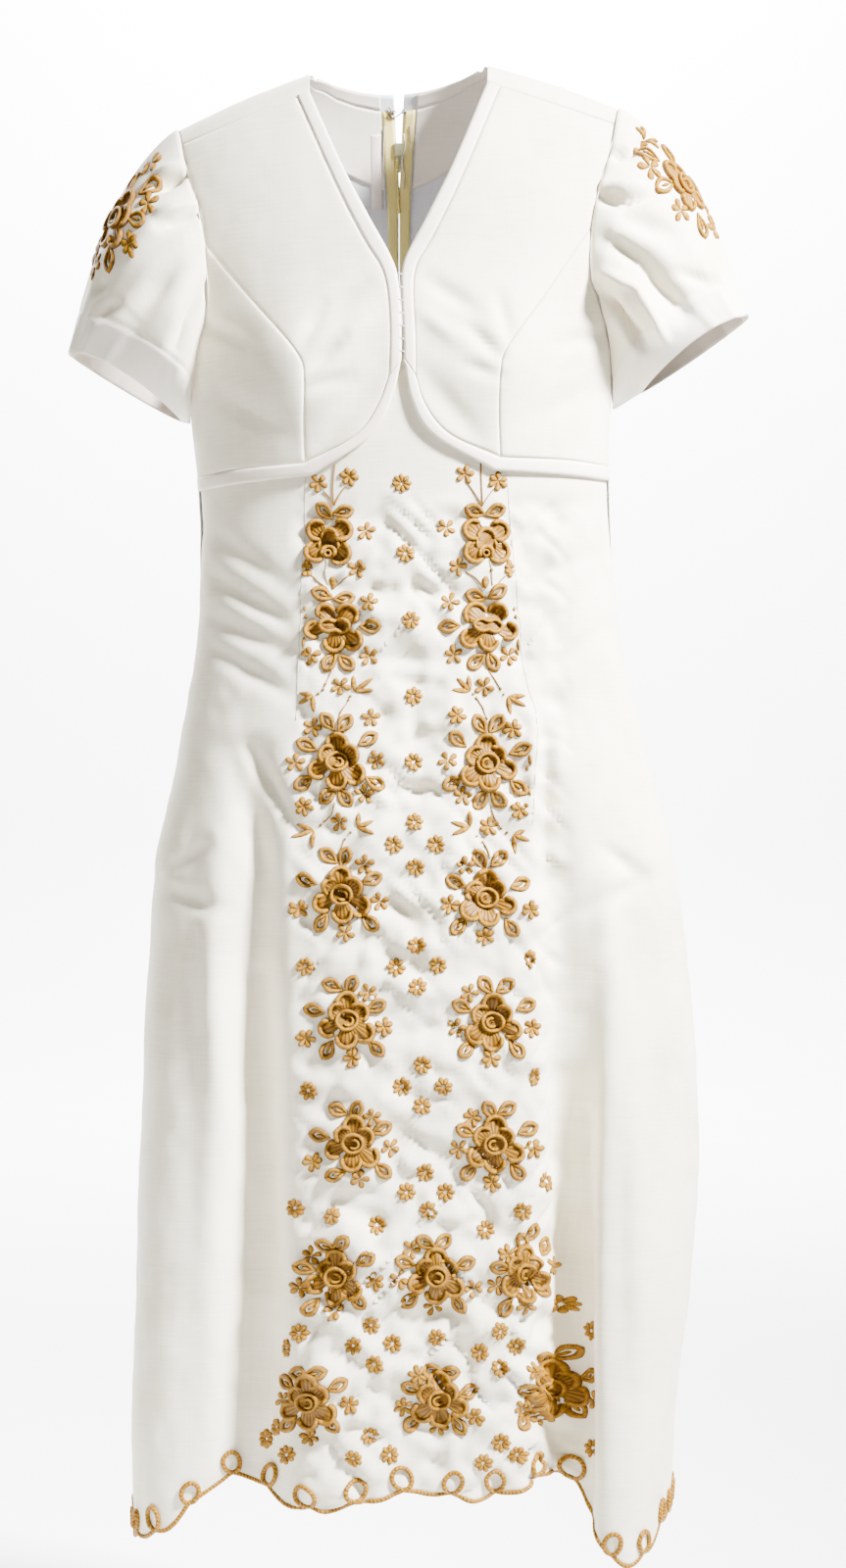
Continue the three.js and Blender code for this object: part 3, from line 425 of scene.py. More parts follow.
def back_edges(side, fine):
    """The outer edge and the top edge of a back panel."""
    hem = hem_spots(side * 180, side * 90, SCALLOPS_BACK_HALF, 2)[-1, 1]
    seam = mix([side * 90, hem], [side * 90, UNDERARM], SKIRT_ROWS * fine)
    armhole = line("back", side, ARMHOLE_BACK, (ARMHOLE_ROWS - BACK_OVERLAP_ROWS) * fine)
    end = np.array(side_spot("over", side, *[np.array(v, float) for v in SHOULDER_SEAM[0]]))
    over = mix(armhole[-1], end, BACK_OVERLAP_ROWS * fine)
    outer = np.vstack([seam, armhole[1:], over[1:]])
    neck = line("back", side, BACK_NECK, (SCALLOPS_BACK_HALF - BACK_OVERLAP_ROWS) * fine)
    shoulder = line("over", side, [NECK_EDGE[0], *SHOULDER_SEAM[::-1]], SCALLOPS_BACK_HALF * fine)
    over = mix(neck[-1], shoulder[0], BACK_OVERLAP_ROWS * fine)
    return outer, np.vstack([neck, over[1:-1], shoulder])


def back_net(side, fine, center_heights):
    """A back panel. Its columns run from the centre back outwards."""
    outer, top = back_edges(side, fine)
    neck = top[0, 1]
    low = hem_spots(side * 180, side * 90, SCALLOPS_BACK_HALF, 2 * fine)
    heights = center_heights(low[0, 1], neck)
    half = read(ZIP_OPENING, "below", "half", neck - heights)
    middle = np.stack([side * (180 - half / MM_PER_DEGREE), heights], -1)
    top[0] = middle[-1]
    return patch(low, top, middle, outer, SKIRT_ROWS * fine)


def part_heights(hem, neck):
    """Levels up the centre back as the part has them, which end with the facing's and the binding's."""
    bodice = ARMHOLE_ROWS - BACK_FACING_ROWS - 1
    low = neck - BACK_FACING_DEPTH
    high = neck - BACK_BINDING_DEPTH
    return np.concatenate(
        [
            np.linspace(hem, UNDERARM, SKIRT_ROWS + 1),
            np.linspace(UNDERARM, low, bodice + 1)[1:],
            np.linspace(low, high, BACK_FACING_ROWS + 1)[1:],
            [neck],
        ]
    )


def fine_heights(hem, neck):
    skirt = np.linspace(hem, UNDERARM, SKIRT_ROWS * SCALLOP_FINE + 1)
    return np.concatenate([skirt, np.linspace(UNDERARM, neck, ARMHOLE_ROWS * SCALLOP_FINE + 1)[1:]])


def refined(net, rows, columns):
    """A net drawn finer, evenly between its own places, at the rows and columns wanted."""
    i = np.minimum(np.floor(rows).astype(int), net.shape[0] - 2)
    v = (rows - i)[:, None, None]
    net = net[i] * (1 - v) + net[i + 1] * v
    j = np.minimum(np.floor(columns).astype(int), net.shape[1] - 2)
    u = (columns - j)[None, :, None]
    return net[:, j] * (1 - u) + net[:, j + 1] * u


def spread(stops, fine):
    """Evenly spaced numbers between stops."""
    runs = [np.linspace(a, b, fine + 1)[:-1] for a, b in zip(stops, stops[1:])]
    return np.concatenate([*runs, stops[-1:]])


# Small creases and puckers, as troughs and ridges drawn on the photograph. Places and widths are in its
# pixels, and depth is in mm, less than 0 for a trough

CREASES_FRONT = table(
    "x1 y1 x2 y2 width depth",
    (262, 770, 258, 1110, 18, -5.0), (258, 1000, 272, 1490, 18, -5.0), (222, 860, 214, 1500, 16, 3.0),
    (566, 820, 582, 1180, 17, -6.5), (582, 1100, 588, 1560, 14, -7.5), (622, 900, 618, 1570, 15, 5.5),
    (213, 588, 300, 640, 9, -2.4), (210, 628, 298, 668, 10, -2.0), (212, 660, 300, 712, 9, -1.8),
    (206, 540, 296, 600, 10, -1.6), (252, 762, 299, 842, 8, -3.0), (236, 770, 268, 900, 12, -2.2),
    (336, 600, 448, 604, 9, -3.0), (352, 664, 452, 676, 9, -2.4), (395, 692, 440, 700, 8, -2.2),
    (390, 806, 452, 810, 11, -3.2), (405, 762, 448, 746, 7, -2.0), (380, 918, 440, 936, 10, -2.6),
    (385, 1058, 470, 1046, 10, -2.2), (398, 1160, 468, 1184, 11, -2.4), (330, 1228, 398, 1216, 9, -2.0),
    (300, 1322, 385, 1340, 9, -2.4), (398, 1340, 470, 1352, 9, -2.0), (330, 1378, 395, 1402, 10, -2.4),
    (420, 1470, 470, 1452, 10, -2.2), (350, 1500, 420, 1470, 9, -1.8), (480, 1330, 560, 1350, 8, -2.0),
    (618, 866, 660, 895, 8, -3.0), (660, 896, 600, 930, 9, -2.6), (650, 905, 612, 990, 12, -2.2),
    (543, 726, 546, 850, 7, 2.6), (556, 740, 560, 930, 9, -2.6), (527, 600, 600, 566, 9, -1.6),
    (540, 700, 618, 640, 10, -1.8), (520, 520, 610, 512, 10, -1.4), (160, 905, 230, 930, 10, -2.0),
    (160, 895, 215, 860, 9, -1.8), (210, 940, 236, 1200, 16, 2.0), (262, 1000, 276, 1300, 12, -2.4),
    (640, 1000, 650, 1400, 14, 2.0), (603, 1140, 601, 1590, 5, -4.6), (578, 1060, 590, 1500, 10, -2.2),
    (313, 378, 350, 346, 7, -2.6), (314, 396, 356, 384, 7, -2.0), (306, 352, 330, 312, 7, -2.0),
    (372, 292, 322, 330, 9, -1.8), (380, 320, 340, 356, 9, 1.6), (511, 364, 478, 334, 7, -2.4),
    (511, 384, 474, 372, 7, -1.8), (520, 346, 508, 300, 7, -1.8), (436, 286, 486, 318, 9, -1.8),
    (432, 320, 470, 348, 9, 1.6), (330, 450, 392, 380, 12, -1.4), (430, 380, 490, 450, 12, -1.4),
    (216, 400, 290, 440, 12, -1.2), (608, 396, 536, 430, 12, -1.2), (206, 330, 250, 350, 9, -1.6),
    (620, 340, 572, 352, 9, -1.6),
)
CREASES_BACK = table(
    "x1 y1 x2 y2 width depth",
    (240, 330, 330, 372, 12, -2.0), (590, 322, 505, 380, 12, -2.0), (300, 150, 330, 250, 14, -1.6),
    (520, 140, 500, 246, 14, -1.6), (300, 560, 412, 584, 13, -2.4), (420, 590, 540, 560, 13, -2.2),
    (320, 640, 408, 652, 12, -2.0), (426, 664, 520, 636, 12, -2.2), (236, 700, 320, 768, 14, -2.2),
    (600, 716, 520, 790, 14, -2.0), (350, 840, 356, 1120, 20, 2.2), (474, 900, 480, 1260, 20, 2.0),
    (405, 1000, 398, 1420, 18, -2.0),
)
PUCKER_LEFT = 292
PUCKER_RIGHT = 590
PUCKER_TOP = 500
PUCKER_EDGE = 26
PUCKER_DEPTH = 4.8
PULL_DEPTH = 5.4
FINE_PUCKER_DEPTH = 2.4
DRAPE_DEPTH = 0.9
FINE_DRAPE_DEPTH = 0.5
CREASE_GAIN = 2.2
NOISE_GRID = np.random.default_rng(7).uniform(-1, 1, (64, 64))


def noise(x, y, size):
    """Smooth noise from -1 to 1 with features of that size."""
    x = np.asarray(x) / size
    y = np.asarray(y) / size
    i = np.floor(x).astype(int)
    j = np.floor(y).astype(int)
    u = smooth(x - i)
    v = smooth(y - j)

    def at(a, b):
        return NOISE_GRID[(i + a) % 64, (j + b) % 64]

    return (at(0, 0) * (1 - u) + at(1, 0) * u) * (1 - v) + (at(0, 1) * (1 - u) + at(1, 1) * u) * v


def photo_places(points):
    """Where the eye sees points, in the photograph's pixels."""
    near = (EYE_DISTANCE + points[..., 1]) / EYE_DISTANCE
    x = EYE_X + (points[..., 0] - EYE_X) / near
    z = EYE_Z + (points[..., 2] - EYE_Z) / near
    return CENTER_PX + x / MM_PER_PIXEL, SHOULDER_PX - z / MM_PER_PIXEL


def creased(creases, x, y):
    """How far the creases move the cloth at places of the photograph, in mm."""
    total = np.zeros_like(x)
    for row in creases:
        run = np.array([row["x2"] - row["x1"], row["y2"] - row["y1"]], float)
        length = np.linalg.norm(run)
        dx = x - row["x1"]
        dy = y - row["y1"]
        along = (dx * run[0] + dy * run[1]) / length
        off = (dx * run[1] - dy * run[0]) / length
        past = np.maximum(np.abs(along - length / 2) - length / 2, 0)
        full = 0.4 + 0.6 * np.sin(math.pi * np.clip(along / length, 0, 1))
        total += CREASE_GAIN * row["depth"] * bell(off / row["width"]) * bell(past / row["width"]) * full
    return total


def pull(x, y, way, size):
    """Thin folds that the stitching pulls in down one diagonal: 1 along each, 0 between."""
    return bell(noise(0.25 * (x + way * y), 0.8 * (y - way * x), size) / 0.26)


def detail(angle, height):
    """How far creases and puckers move the cloth out, in mm."""
    x, y = photo_places(surface(angle, height))
    in_front = smooth((96 - np.abs(angle)) / 12)
    stitched = smooth((x - PUCKER_LEFT) / PUCKER_EDGE) * smooth((PUCKER_RIGHT - x) / PUCKER_EDGE)
    stitched = stitched * smooth((y - PUCKER_TOP) / PUCKER_EDGE) * in_front
    leaning = smooth(0.5 + 1.6 * noise(x, y + 50, 70))
    pulled = leaning * pull(x, y, 1, 20) + (1 - leaning) * pull(x, y, -1, 23)
    puckers = PUCKER_DEPTH * noise(x * 0.6, y, 23) - PULL_DEPTH * pulled
    puckers = puckers + FINE_PUCKER_DEPTH * noise(x + 31, y + 7, 12)
    puckers = puckers * (0.8 + 0.45 * smooth((y - 1150) / 200))
    drape = DRAPE_DEPTH * noise(x + 11, y * 0.3, 26) + FINE_DRAPE_DEPTH * noise(x, y * 0.7, 13)
    skirt = smooth((y - 520) / 200)
    fine = puckers * stitched + drape * (0.35 + 0.65 * skirt) * (1 - stitched)
    front = creased(CREASES_FRONT, x, y)
    back = creased(CREASES_BACK, x, y)
    return fine + front * in_front + back * (1 - in_front)


def cloth_at(spots, lift):
    """Points of the cloth moved out by lift, with its creases."""
    angle = spots[..., 0]
    height = spots[..., 1]
    out = np.asarray(lift) + detail(angle, height)
    return surface(angle, height) + normals(angle, height) * out[..., None]


def drawn_in(net):
    """A net whose four edges are drawn in by half the gap at a seam."""
    net = net.copy()

    def toward(start, end):
        way = end - start
        return way * (SEAM_GAP / 2 / np.linalg.norm(way, axis=-1, keepdims=True))

    first = toward(net[:, 0], net[:, 1])
    last = toward(net[:, -1], net[:, -2])
    low = toward(net[0], net[1])
    high = toward(net[-1], net[-2])
    net[:, 0] += first
    net[:, -1] += last
    net[0] += low
    net[-1] += high
    return net


# Meshes


def new_piece(name, points, faces, uvs=None, materials=(), looks=None, smooth_faces=True):
    """A mesh object from points in mm. uvs has one (u, v) a point, and looks one material number a face."""
    mesh = bpy.data.meshes.new(name)
    mesh.from_pydata(np.asarray(points) * MM, [], faces)
    if uvs is not None:
        layer = mesh.uv_layers.new(name="cloth_mm")
        corners = np.empty(len(mesh.loops), np.int32)
        mesh.loops.foreach_get("vertex_index", corners)
        layer.data.foreach_set("uv", np.asarray(uvs, np.float32)[corners].ravel())
    for material in materials:
        mesh.materials.append(material)
    if looks is not None:
        mesh.polygons.foreach_set("material_index", np.asarray(looks, np.int32))
    mesh.polygons.foreach_set("use_smooth", np.full(len(mesh.polygons), smooth_faces))
    mesh.update()
    piece = bpy.data.objects.new(name, mesh)
    bpy.context.scene.collection.objects.link(piece)
    return piece


def grid_faces(rows, columns, ring=False):
    i = np.arange(columns if ring else columns - 1)
    j = np.arange(rows - 1)[:, None]
    right = (i + 1) % columns
    low = j * columns
    high = low + columns
    return np.stack([low + i, low + right, high + right, high + i], -1).reshape(-1, 4)


def slab(outer, inner, ring=False):
    """Points and faces of a closed wall between two nets, and how many of the faces are the outer ones."""
    rows, columns = outer.shape[:2]
    count = rows * columns
    front = grid_faces(rows, columns, ring)
    behind = front[:, ::-1] + count
    i = np.arange(columns if ring else columns - 1)
    right = (i + 1) % columns
    end = (rows - 1) * columns
    walls = [
        np.stack([right, i, i + count, right + count], -1),
        np.stack([end + i, end + right, end + right + count, end + i + count], -1),
    ]
    if not ring:
        j = np.arange(rows - 1) * columns
        last = j + columns - 1
        walls.append(np.stack([j, j + columns, j + columns + count, j + count], -1))
        walls.append(np.stack([last + columns, last, last + count, last + columns + count], -1))
    points = np.concatenate([outer.reshape(-1, 3), inner.reshape(-1, 3)])
    return points, np.vstack([front, behind, *walls]), len(front)


def declare(piece, nodes):
    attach(piece, "dress")
    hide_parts(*nodes)


def cloth_uvs(net):
    spots = net.reshape(-1, 2) * [MM_PER_DEGREE, 1]
    return np.vstack([spots, spots])


def run_along(points, axis):
    """How far each place of a net lies along its row or its column."""
    steps = np.cumsum(np.linalg.norm(np.diff(points, axis=axis), axis=-1), axis)
    return np.insert(steps, 0, 0, axis)


def seam_roll(net, sides, depth=0.55, width=2.2):
    """How far the cloth turns in along the sides named, as a lift for each place of the net."""
    points = surface(net[..., 0], net[..., 1])
    across = run_along(points, 1)
    up = run_along(points, 0)
    runs = dict(left=across, right=across[:, -1:] - across, low=up, high=up[-1:] - up)
    return -depth * sum(bell(runs[side] / width) for side in sides)


# Materials


def shader(name, roughness, **sockets):
    material = bpy.data.materials.new(name)
    material.use_nodes = True
    nodes = material.node_tree.nodes
    bsdf = nodes["Principled BSDF"]
    bsdf.inputs["Roughness"].default_value = roughness
    for socket, value in sockets.items():
        bsdf.inputs[socket.replace("_", " ")].default_value = value
    return material, nodes, material.node_tree.links, bsdf


def cloth_places(nodes, links, scale):
    """The cloth's own coordinates in mm, scaled."""
    places = nodes.new("ShaderNodeTexCoord")
    mapping = nodes.new("ShaderNodeMapping")
    mapping.inputs["Scale"].default_value = scale
    links.new(places.outputs["UV"], mapping.inputs["Vector"])
    return mapping.outputs["Vector"]


def noise_of(nodes, links, vector, scale=1.0, detail_level=3.0, roughness=0.6):
    node = nodes.new("ShaderNodeTexNoise")
    node.inputs["Scale"].default_value = scale
    node.inputs["Detail"].default_value = detail_level
    node.inputs["Roughness"].default_value = roughness
    links.new(vector, node.inputs["Vector"])
    return node.outputs["Fac"]


def ramp(nodes, links, fac, stops):
    node = nodes.new("ShaderNodeValToRGB")
    elements = node.color_ramp.elements
    while len(elements) < len(stops):
        elements.new(0.5)
    for element, (at, color) in zip(elements, stops):
        element.position = at
        element.color = (*color, 1)
    links.new(fac, node.inputs["Fac"])
    return node.outputs["Color"]


def added(nodes, links, a, b, share):
    node = nodes.new("ShaderNodeMath")
    node.operation = "MULTIPLY_ADD"
    links.new(b, node.inputs[0])
    node.inputs[1].default_value = share
    links.new(a, node.inputs[2])
    return node.outputs[0]


def bump(nodes, links, bsdf, height, strength, distance):
    node = nodes.new("ShaderNodeBump")
    node.inputs["Strength"].default_value = strength
    node.inputs["Distance"].default_value = distance
    links.new(height, node.inputs["Height"])
    links.new(node.outputs["Normal"], bsdf.inputs["Normal"])


def cloth_material(name, light, dark, slub=0.5, strength=0.5, sheen=0.25):
    """Fine plain weave with slubs both ways and slight clouding."""
    material, nodes, links, bsdf = shader(
        name, 0.72, Sheen_Weight=sheen, Sheen_Roughness=0.45, Specular_IOR_Level=0.28
    )
    weft = noise_of(nodes, links, cloth_places(nodes, links, (0.03, 0.55, 1)), 1.0, 2.0)
    warp = noise_of(nodes, links, cloth_places(nodes, links, (0.55, 0.025, 1)), 1.0, 2.0)
    cloud = noise_of(nodes, links, cloth_places(nodes, links, (0.012, 0.012, 1)), 1.0, 3.0)
    threads = added(nodes, links, weft, warp, 0.7)
    links.new(
        ramp(nodes, links, added(nodes, links, cloud, threads, slub), [(0.68, dark), (1.04, light)]),
        bsdf.inputs["Base Color"],
    )
    weave = noise_of(nodes, links, cloth_places(nodes, links, (1.1, 1.1, 1)), 1.0, 1.0)
    bump(nodes, links, bsdf, added(nodes, links, threads, weave, 0.5), strength, 0.00022)
    return material


def thread_material(name, shade, mid, light, pitch=1.15):
    """Satin stitch: threads side by side across each bar, with painted shade that darkens each bar towards
    its edges, where its threads go into the cloth.
    """
    material, nodes, links, bsdf = shader(name, 0.5, Specular_IOR_Level=0.22)
    wave = nodes.new("ShaderNodeTexWave")
    wave.wave_type = "BANDS"
    wave.bands_direction = "X"
    wave.inputs["Scale"].default_value = 2 * math.pi / (20 * pitch)
    wave.inputs["Distortion"].default_value = 1.2
    wave.inputs["Detail"].default_value = 1.0
    wave.inputs["Detail Scale"].default_value = 1.4
    places = cloth_places(nodes, links, (1, 1, 1))
    links.new(places, wave.inputs["Vector"])
    patchy = noise_of(nodes, links, cloth_places(nodes, links, (0.3, 0.3, 1)), 1.0, 2.0)
    split = nodes.new("ShaderNodeSeparateXYZ")
    links.new(places, split.inputs[0])
    across = nodes.new("ShaderNodeMath")
    across.operation = "MULTIPLY"
    links.new(split.outputs["Y"], across.inputs[0])
    links.new(split.outputs["Y"], across.inputs[1])
    fac = added(nodes, links, patchy, wave.outputs["Fac"], 0.4)
    # Painted shade: the square of the place across the bar lowers the colour towards the bar's edges
    fac = added(nodes, links, fac, across.outputs[0], -0.42)
    links.new(ramp(nodes, links, fac, [(0.12, shade), (0.55, mid), (0.95, light)]), bsdf.inputs["Base Color"])
    bump(nodes, links, bsdf, wave.outputs["Fac"], 0.7, 0.0004)
    return material


CREAM = cloth_material("cream_cloth", (0.90, 0.84, 0.68), (0.77, 0.70, 0.53))
CREAM_INSIDE = cloth_material("cream_cloth_inside", (0.76, 0.76, 0.79), (0.69, 0.685, 0.70))
# Painted shade: the sleeves' inside is the cream cloth painted a darker beige, for the shade that falls
# inside them
SLEEVE_INSIDE_PAINTED_SHADE = cloth_material("cream_sleeve_inside_painted_shade", (0.62, 0.55, 0.48), (0.54, 0.47, 0.40))
BAND = cloth_material("cream_hem_band", (0.92, 0.86, 0.75), (0.86, 0.78, 0.66), strength=0.35)
IVORY = cloth_material("ivory_binding", (0.94, 0.86, 0.74), (0.87, 0.77, 0.64), slub=0.35, strength=0.3)
FACING = cloth_material("ivory_facing", (0.86, 0.79, 0.68), (0.79, 0.70, 0.58), strength=0.3)
PINK_CLOTH = cloth_material("pink_seam_allowance", (0.86, 0.74, 0.66), (0.78, 0.65, 0.57), strength=0.3)
# Painted shade: a dark cloth for thin bars along the dart seams, standing in for the shade in the seams'
# grooves
SEAM_GROOVE_PAINTED_SHADE = cloth_material("seam_groove_painted_shade", (0.46, 0.42, 0.35), (0.36, 0.32, 0.26), strength=0.2)
TAPE = cloth_material("yellow_zip_tape", (0.80, 0.66, 0.22), (0.68, 0.54, 0.14), 0.8, 0.8, 0.1)
GOLD_SHADE = (0.03, 0.010, 0.0004)
GOLD = thread_material("gold_thread", GOLD_SHADE, (0.19, 0.079, 0.001), (0.43, 0.21, 0.003))
# Painted shade: a darker copy of the gold for the fillings between a motif's ropes, as if shaded in that
# recess
GOLD_RECESS_PAINTED_SHADE = thread_material("gold_thread_recess_painted_shade", GOLD_SHADE, (0.12, 0.050, 0.001), (0.26, 0.12, 0.003), 1.9)
PALE_GOLD = thread_material("pale_gold_thread", (0.42, 0.28, 0.12), (0.55, 0.40, 0.2), (0.70, 0.55, 0.34))
CORD = thread_material("gold_cord", (0.035, 0.012, 0.0004), (0.17, 0.070, 0.001), (0.38, 0.185, 0.003), 3.4)
WHITE_THREAD = thread_material("white_thread", (0.74, 0.72, 0.68), (0.83, 0.81, 0.77), (0.9, 0.88, 0.85), 0.8)
BROWN_SHADE = (0.06, 0.02, 0.012)
BROWN_THREAD = thread_material("brown_thread", BROWN_SHADE, (0.10, 0.035, 0.02), (0.16, 0.06, 0.04), 0.8)
TEETH = thread_material("zip_teeth", (0.55, 0.42, 0.10), (0.68, 0.54, 0.16), (0.80, 0.68, 0.28), 2.0)


def metal_material(name, light, dark, metallic):
    material, nodes, links, bsdf = shader(name, 0.34, Metallic=metallic, Specular_IOR_Level=0.5)
    places = nodes.new("ShaderNodeTexCoord")
    worn = noise_of(nodes, links, places.outputs["Object"], 900.0, 3.0)
    links.new(ramp(nodes, links, worn, [(0.35, dark), (0.65, light)]), bsdf.inputs["Base Color"])
    bump(nodes, links, bsdf, worn, 0.15, 0.0001)
    return material


ZIP_METAL = metal_material("zip_metal", (0.62, 0.60, 0.36), (0.48, 0.45, 0.24), 0.45)
STEEL = metal_material("hook_steel", (0.42, 0.42, 0.42), (0.28, 0.28, 0.28), 0.8)
for node in ("zip_slider", "zip_pull"):
    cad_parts[node].data.materials.clear()
    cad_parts[node].data.materials.append(ZIP_METAL)


# Panels

SIDES = {"left": -1, "right": 1}


def add_panel(name, net, inner_lift, cloth, materials, rolled=()):
    """A panel of cloth whose inner face lies at inner_lift."""
    roll = seam_roll(net, rolled) if rolled else 0
    outer = drawn_in(cloth_at(net, inner_lift + cloth + roll))
    inner = drawn_in(cloth_at(net, inner_lift + roll))
    points, faces, front = slab(outer, inner)
    looks = np.where((np.arange(len(faces)) >= front) & (np.arange(len(faces)) < 2 * front), 1, 0)
    piece = new_piece(name + "_cloth", points, faces, cloth_uvs(net), materials, looks)
    declare(piece, [name])


def bolero_lift(net):
    return BOLERO_LOFT * np.maximum(np.cos(np.radians(net[..., 0])), 0) ** 3 - CLOTH


def facing_out(side, net):
    """Turns a net whose columns run from the centre back outwards so that it faces outwards."""
    return net[:, ::-1] if side > 0 else net


FRONT_NET = front_net()
FRONT_LIFT = front_lift(FRONT_NET[..., 1])
add_panel("dress_front", FRONT_NET, FRONT_LIFT, CLOTH, (CREAM, CREAM_INSIDE))

BOLERO_SEAMS = dict(
    bolero_center=("low", "high", "left", "right"),
    bolero_side=("low", "left", "right"),
    neck_binding=("left", "right"),
    bolero_binding=("high", "low"),
)
for suffix, side in SIDES.items():
    for kind, net in bolero_nets(side).items():
        bound = "binding" in kind
        add_panel(
            f"{kind}_{suffix}",
            net,
            bolero_lift(net),
            BINDING_CLOTH if bound else CLOTH,
            (IVORY, IVORY) if bound else (CREAM, CREAM_INSIDE),
            BOLERO_SEAMS[kind],
        )


def add_inside(name, side, net, material, rows, columns):
    """A strip inside the back, made from the part's own places there."""
    net = facing_out(side, refined(net, rows, columns))
    lift = -CLOTH - SEAM_GAP
    outer = drawn_in(cloth_at(net, lift))
    inner = drawn_in(cloth_at(net, lift - LINING_CLOTH))
    points, faces, _ = slab(outer, inner)
    piece = new_piece(name + "_cloth", points, faces, cloth_uvs(net), (material,))
    declare(piece, [name])


for suffix, side in SIDES.items():
    fine = facing_out(side, back_net(side, SCALLOP_FINE, fine_heights))
    add_panel(f"dress_back_{suffix}", fine, -CLOTH, CLOTH, (CREAM, CREAM_INSIDE))
    net = back_net(side, 1, part_heights)
    neck_row = len(net) - 1
    binding_row = neck_row - 1
    facing_row = binding_row - BACK_FACING_ROWS
    columns = spread(np.array([FACING_EDGE_SHARE, *range(1, BACK_FACING_COLUMNS + 1)]), 4)
    rows = spread(np.arange(facing_row, binding_row + 1), 6)
    add_inside(f"back_facing_{suffix}", side, net, FACING, rows, columns)
    rows = spread(np.array([binding_row, neck_row]), 4)
    add_inside(f"back_neck_binding_{suffix}", side, net, IVORY, rows, columns)
    rows = spread(np.arange(binding_row - ZIP_ROWS, binding_row + 1), 4)
    tape = np.linspace(ZIP_EDGE_SHARE, ZIP_TAPE_SHARE, 5)
    add_inside(f"zip_tape_{suffix}", side, net, TAPE, rows, tape)


# Sleeves

SLEEVE_FINE_ROWS = 60
HEM_BAND = 36


def armhole_ring(side):
    top = line("front", side, ARMHOLE_TOP, TOP_ROWS * FINE)
    low = line("front", side, ARMHOLE_LOW, SIDE_COLUMNS * FINE, True)
    low[-1] = [side * 90, UNDERARM]
    outer, _ = back_edges(side, FINE)
    back = outer[SKIRT_ROWS * FINE + 1 : -1]
    spots = np.vstack([top, low[1:], back])
    angle = spots[:, 0]
    height = spots[:, 1]
    return surface(angle, height) + normals(angle, height) * SLEEVE_LIFT, len(top) + len(low) - 2


def ring_turns(ring, underarm):
    lengths = np.linalg.norm(np.roll(ring, -1, axis=0) - ring, axis=1)
    run = np.concatenate([[0], np.cumsum(lengths)[:-1]])
    front = lengths[:underarm].sum()
    back = lengths[underarm:].sum()
    return np.where(np.arange(len(ring)) <= underarm, 180 * run / front, 180 + 180 * (run - front) / back)


def cuff_points(sleeve, turn):
    toward = np.cos(np.radians(turn))
    forward = np.sin(np.radians(turn))
    lift = np.where(forward > 0, CUFF_FRONT_LIFT * forward * forward, 0)
    x = (sleeve["outX"] + sleeve["inX"]) / 2 + (sleeve["outX"] - sleeve["inX"]) / 2 * toward
    y = CUFF_BACK_SHIFT * (1 - toward) / 2 - sleeve["depth"] * forward
    z = (sleeve["outZ"] + sleeve["inZ"]) / 2 + (sleeve["outZ"] - sleeve["inZ"]) / 2 * toward + lift
    return np.stack([x, y, z], -1)


def ripple(rows, turn):
    return sum(row["depth"] * bell(apart(turn, row["turn"]) / row["width"]) for row in rows)


def sleeve_points(sleeve, ring, turn, t):
    """The sleeve's middle surface for a column of t: rows of the ring swept out to the cuff."""
    up = np.maximum(np.cos(np.radians(turn)), 0)
    forward = np.sin(np.radians(turn))
    outward = np.stack([sleeve["side"] * PUFF_OUT * up, -PUFF_FORWARD * forward, PUFF_UP * up], -1)
    t = t[:, None]
    puff = sleeve["puff"] * np.sin(math.pi * t**0.8)
    pleat = ripple(PLEATS, turn) * bell((t - 0.12) / 0.25) * smooth(t / 0.12)
    tuck = ripple(TUCKS, turn) * smooth((t - 0.6) / 0.4)
    soft = 1.6 * noise(turn / 9 + 5 * sleeve["side"], t * 5, 1.0) * np.sin(math.pi * t)
    out = puff + pleat + tuck + soft
    start = ring[None]
    return start + (cuff_points(sleeve, turn)[None] - start) * t[..., None] + outward[None] * out[..., None]


def ring_normals(net):
    around = np.roll(net, -1, axis=1) - np.roll(net, 1, axis=1)
    up = np.gradient(net, axis=0)
    normal = np.cross(around, up)
    return normal / np.linalg.norm(normal, axis=-1, keepdims=True)


CREASES_SLEEVE = table(
    "x1 y1 x2 y2 width depth",
    (190, 177, 160, 193, 5, -6.2), (192, 168, 162, 178, 5, 3.8), (204, 218, 162, 230, 5, -6.2),
    (203, 209, 164, 216, 5, 3.2), (188, 262, 136, 318, 13, -5.0), (208, 292, 180, 352, 8, -5.6),
    (118, 308, 102, 324, 5, -3.0), (110, 282, 98, 300, 6, -2.0), (622, 156, 644, 158, 5, -5.8),
    (644, 158, 664, 137, 5, -4.0), (611, 200, 638, 207, 5, -6.2), (638, 207, 670, 198, 5, -4.5),
    (614, 191, 660, 190, 5, 3.2), (621, 244, 655, 266, 10, -6.2), (655, 266, 697, 318, 11, -6.9),
    (618, 280, 648, 294, 7, 4.4), (648, 294, 676, 344, 7, 4.4), (616, 302, 642, 330, 7, -6.2),
    (642, 330, 658, 352, 7, -5.0), (690, 276, 728, 290, 6, -3.2), (640, 225, 690, 240, 9, -2.5),
)

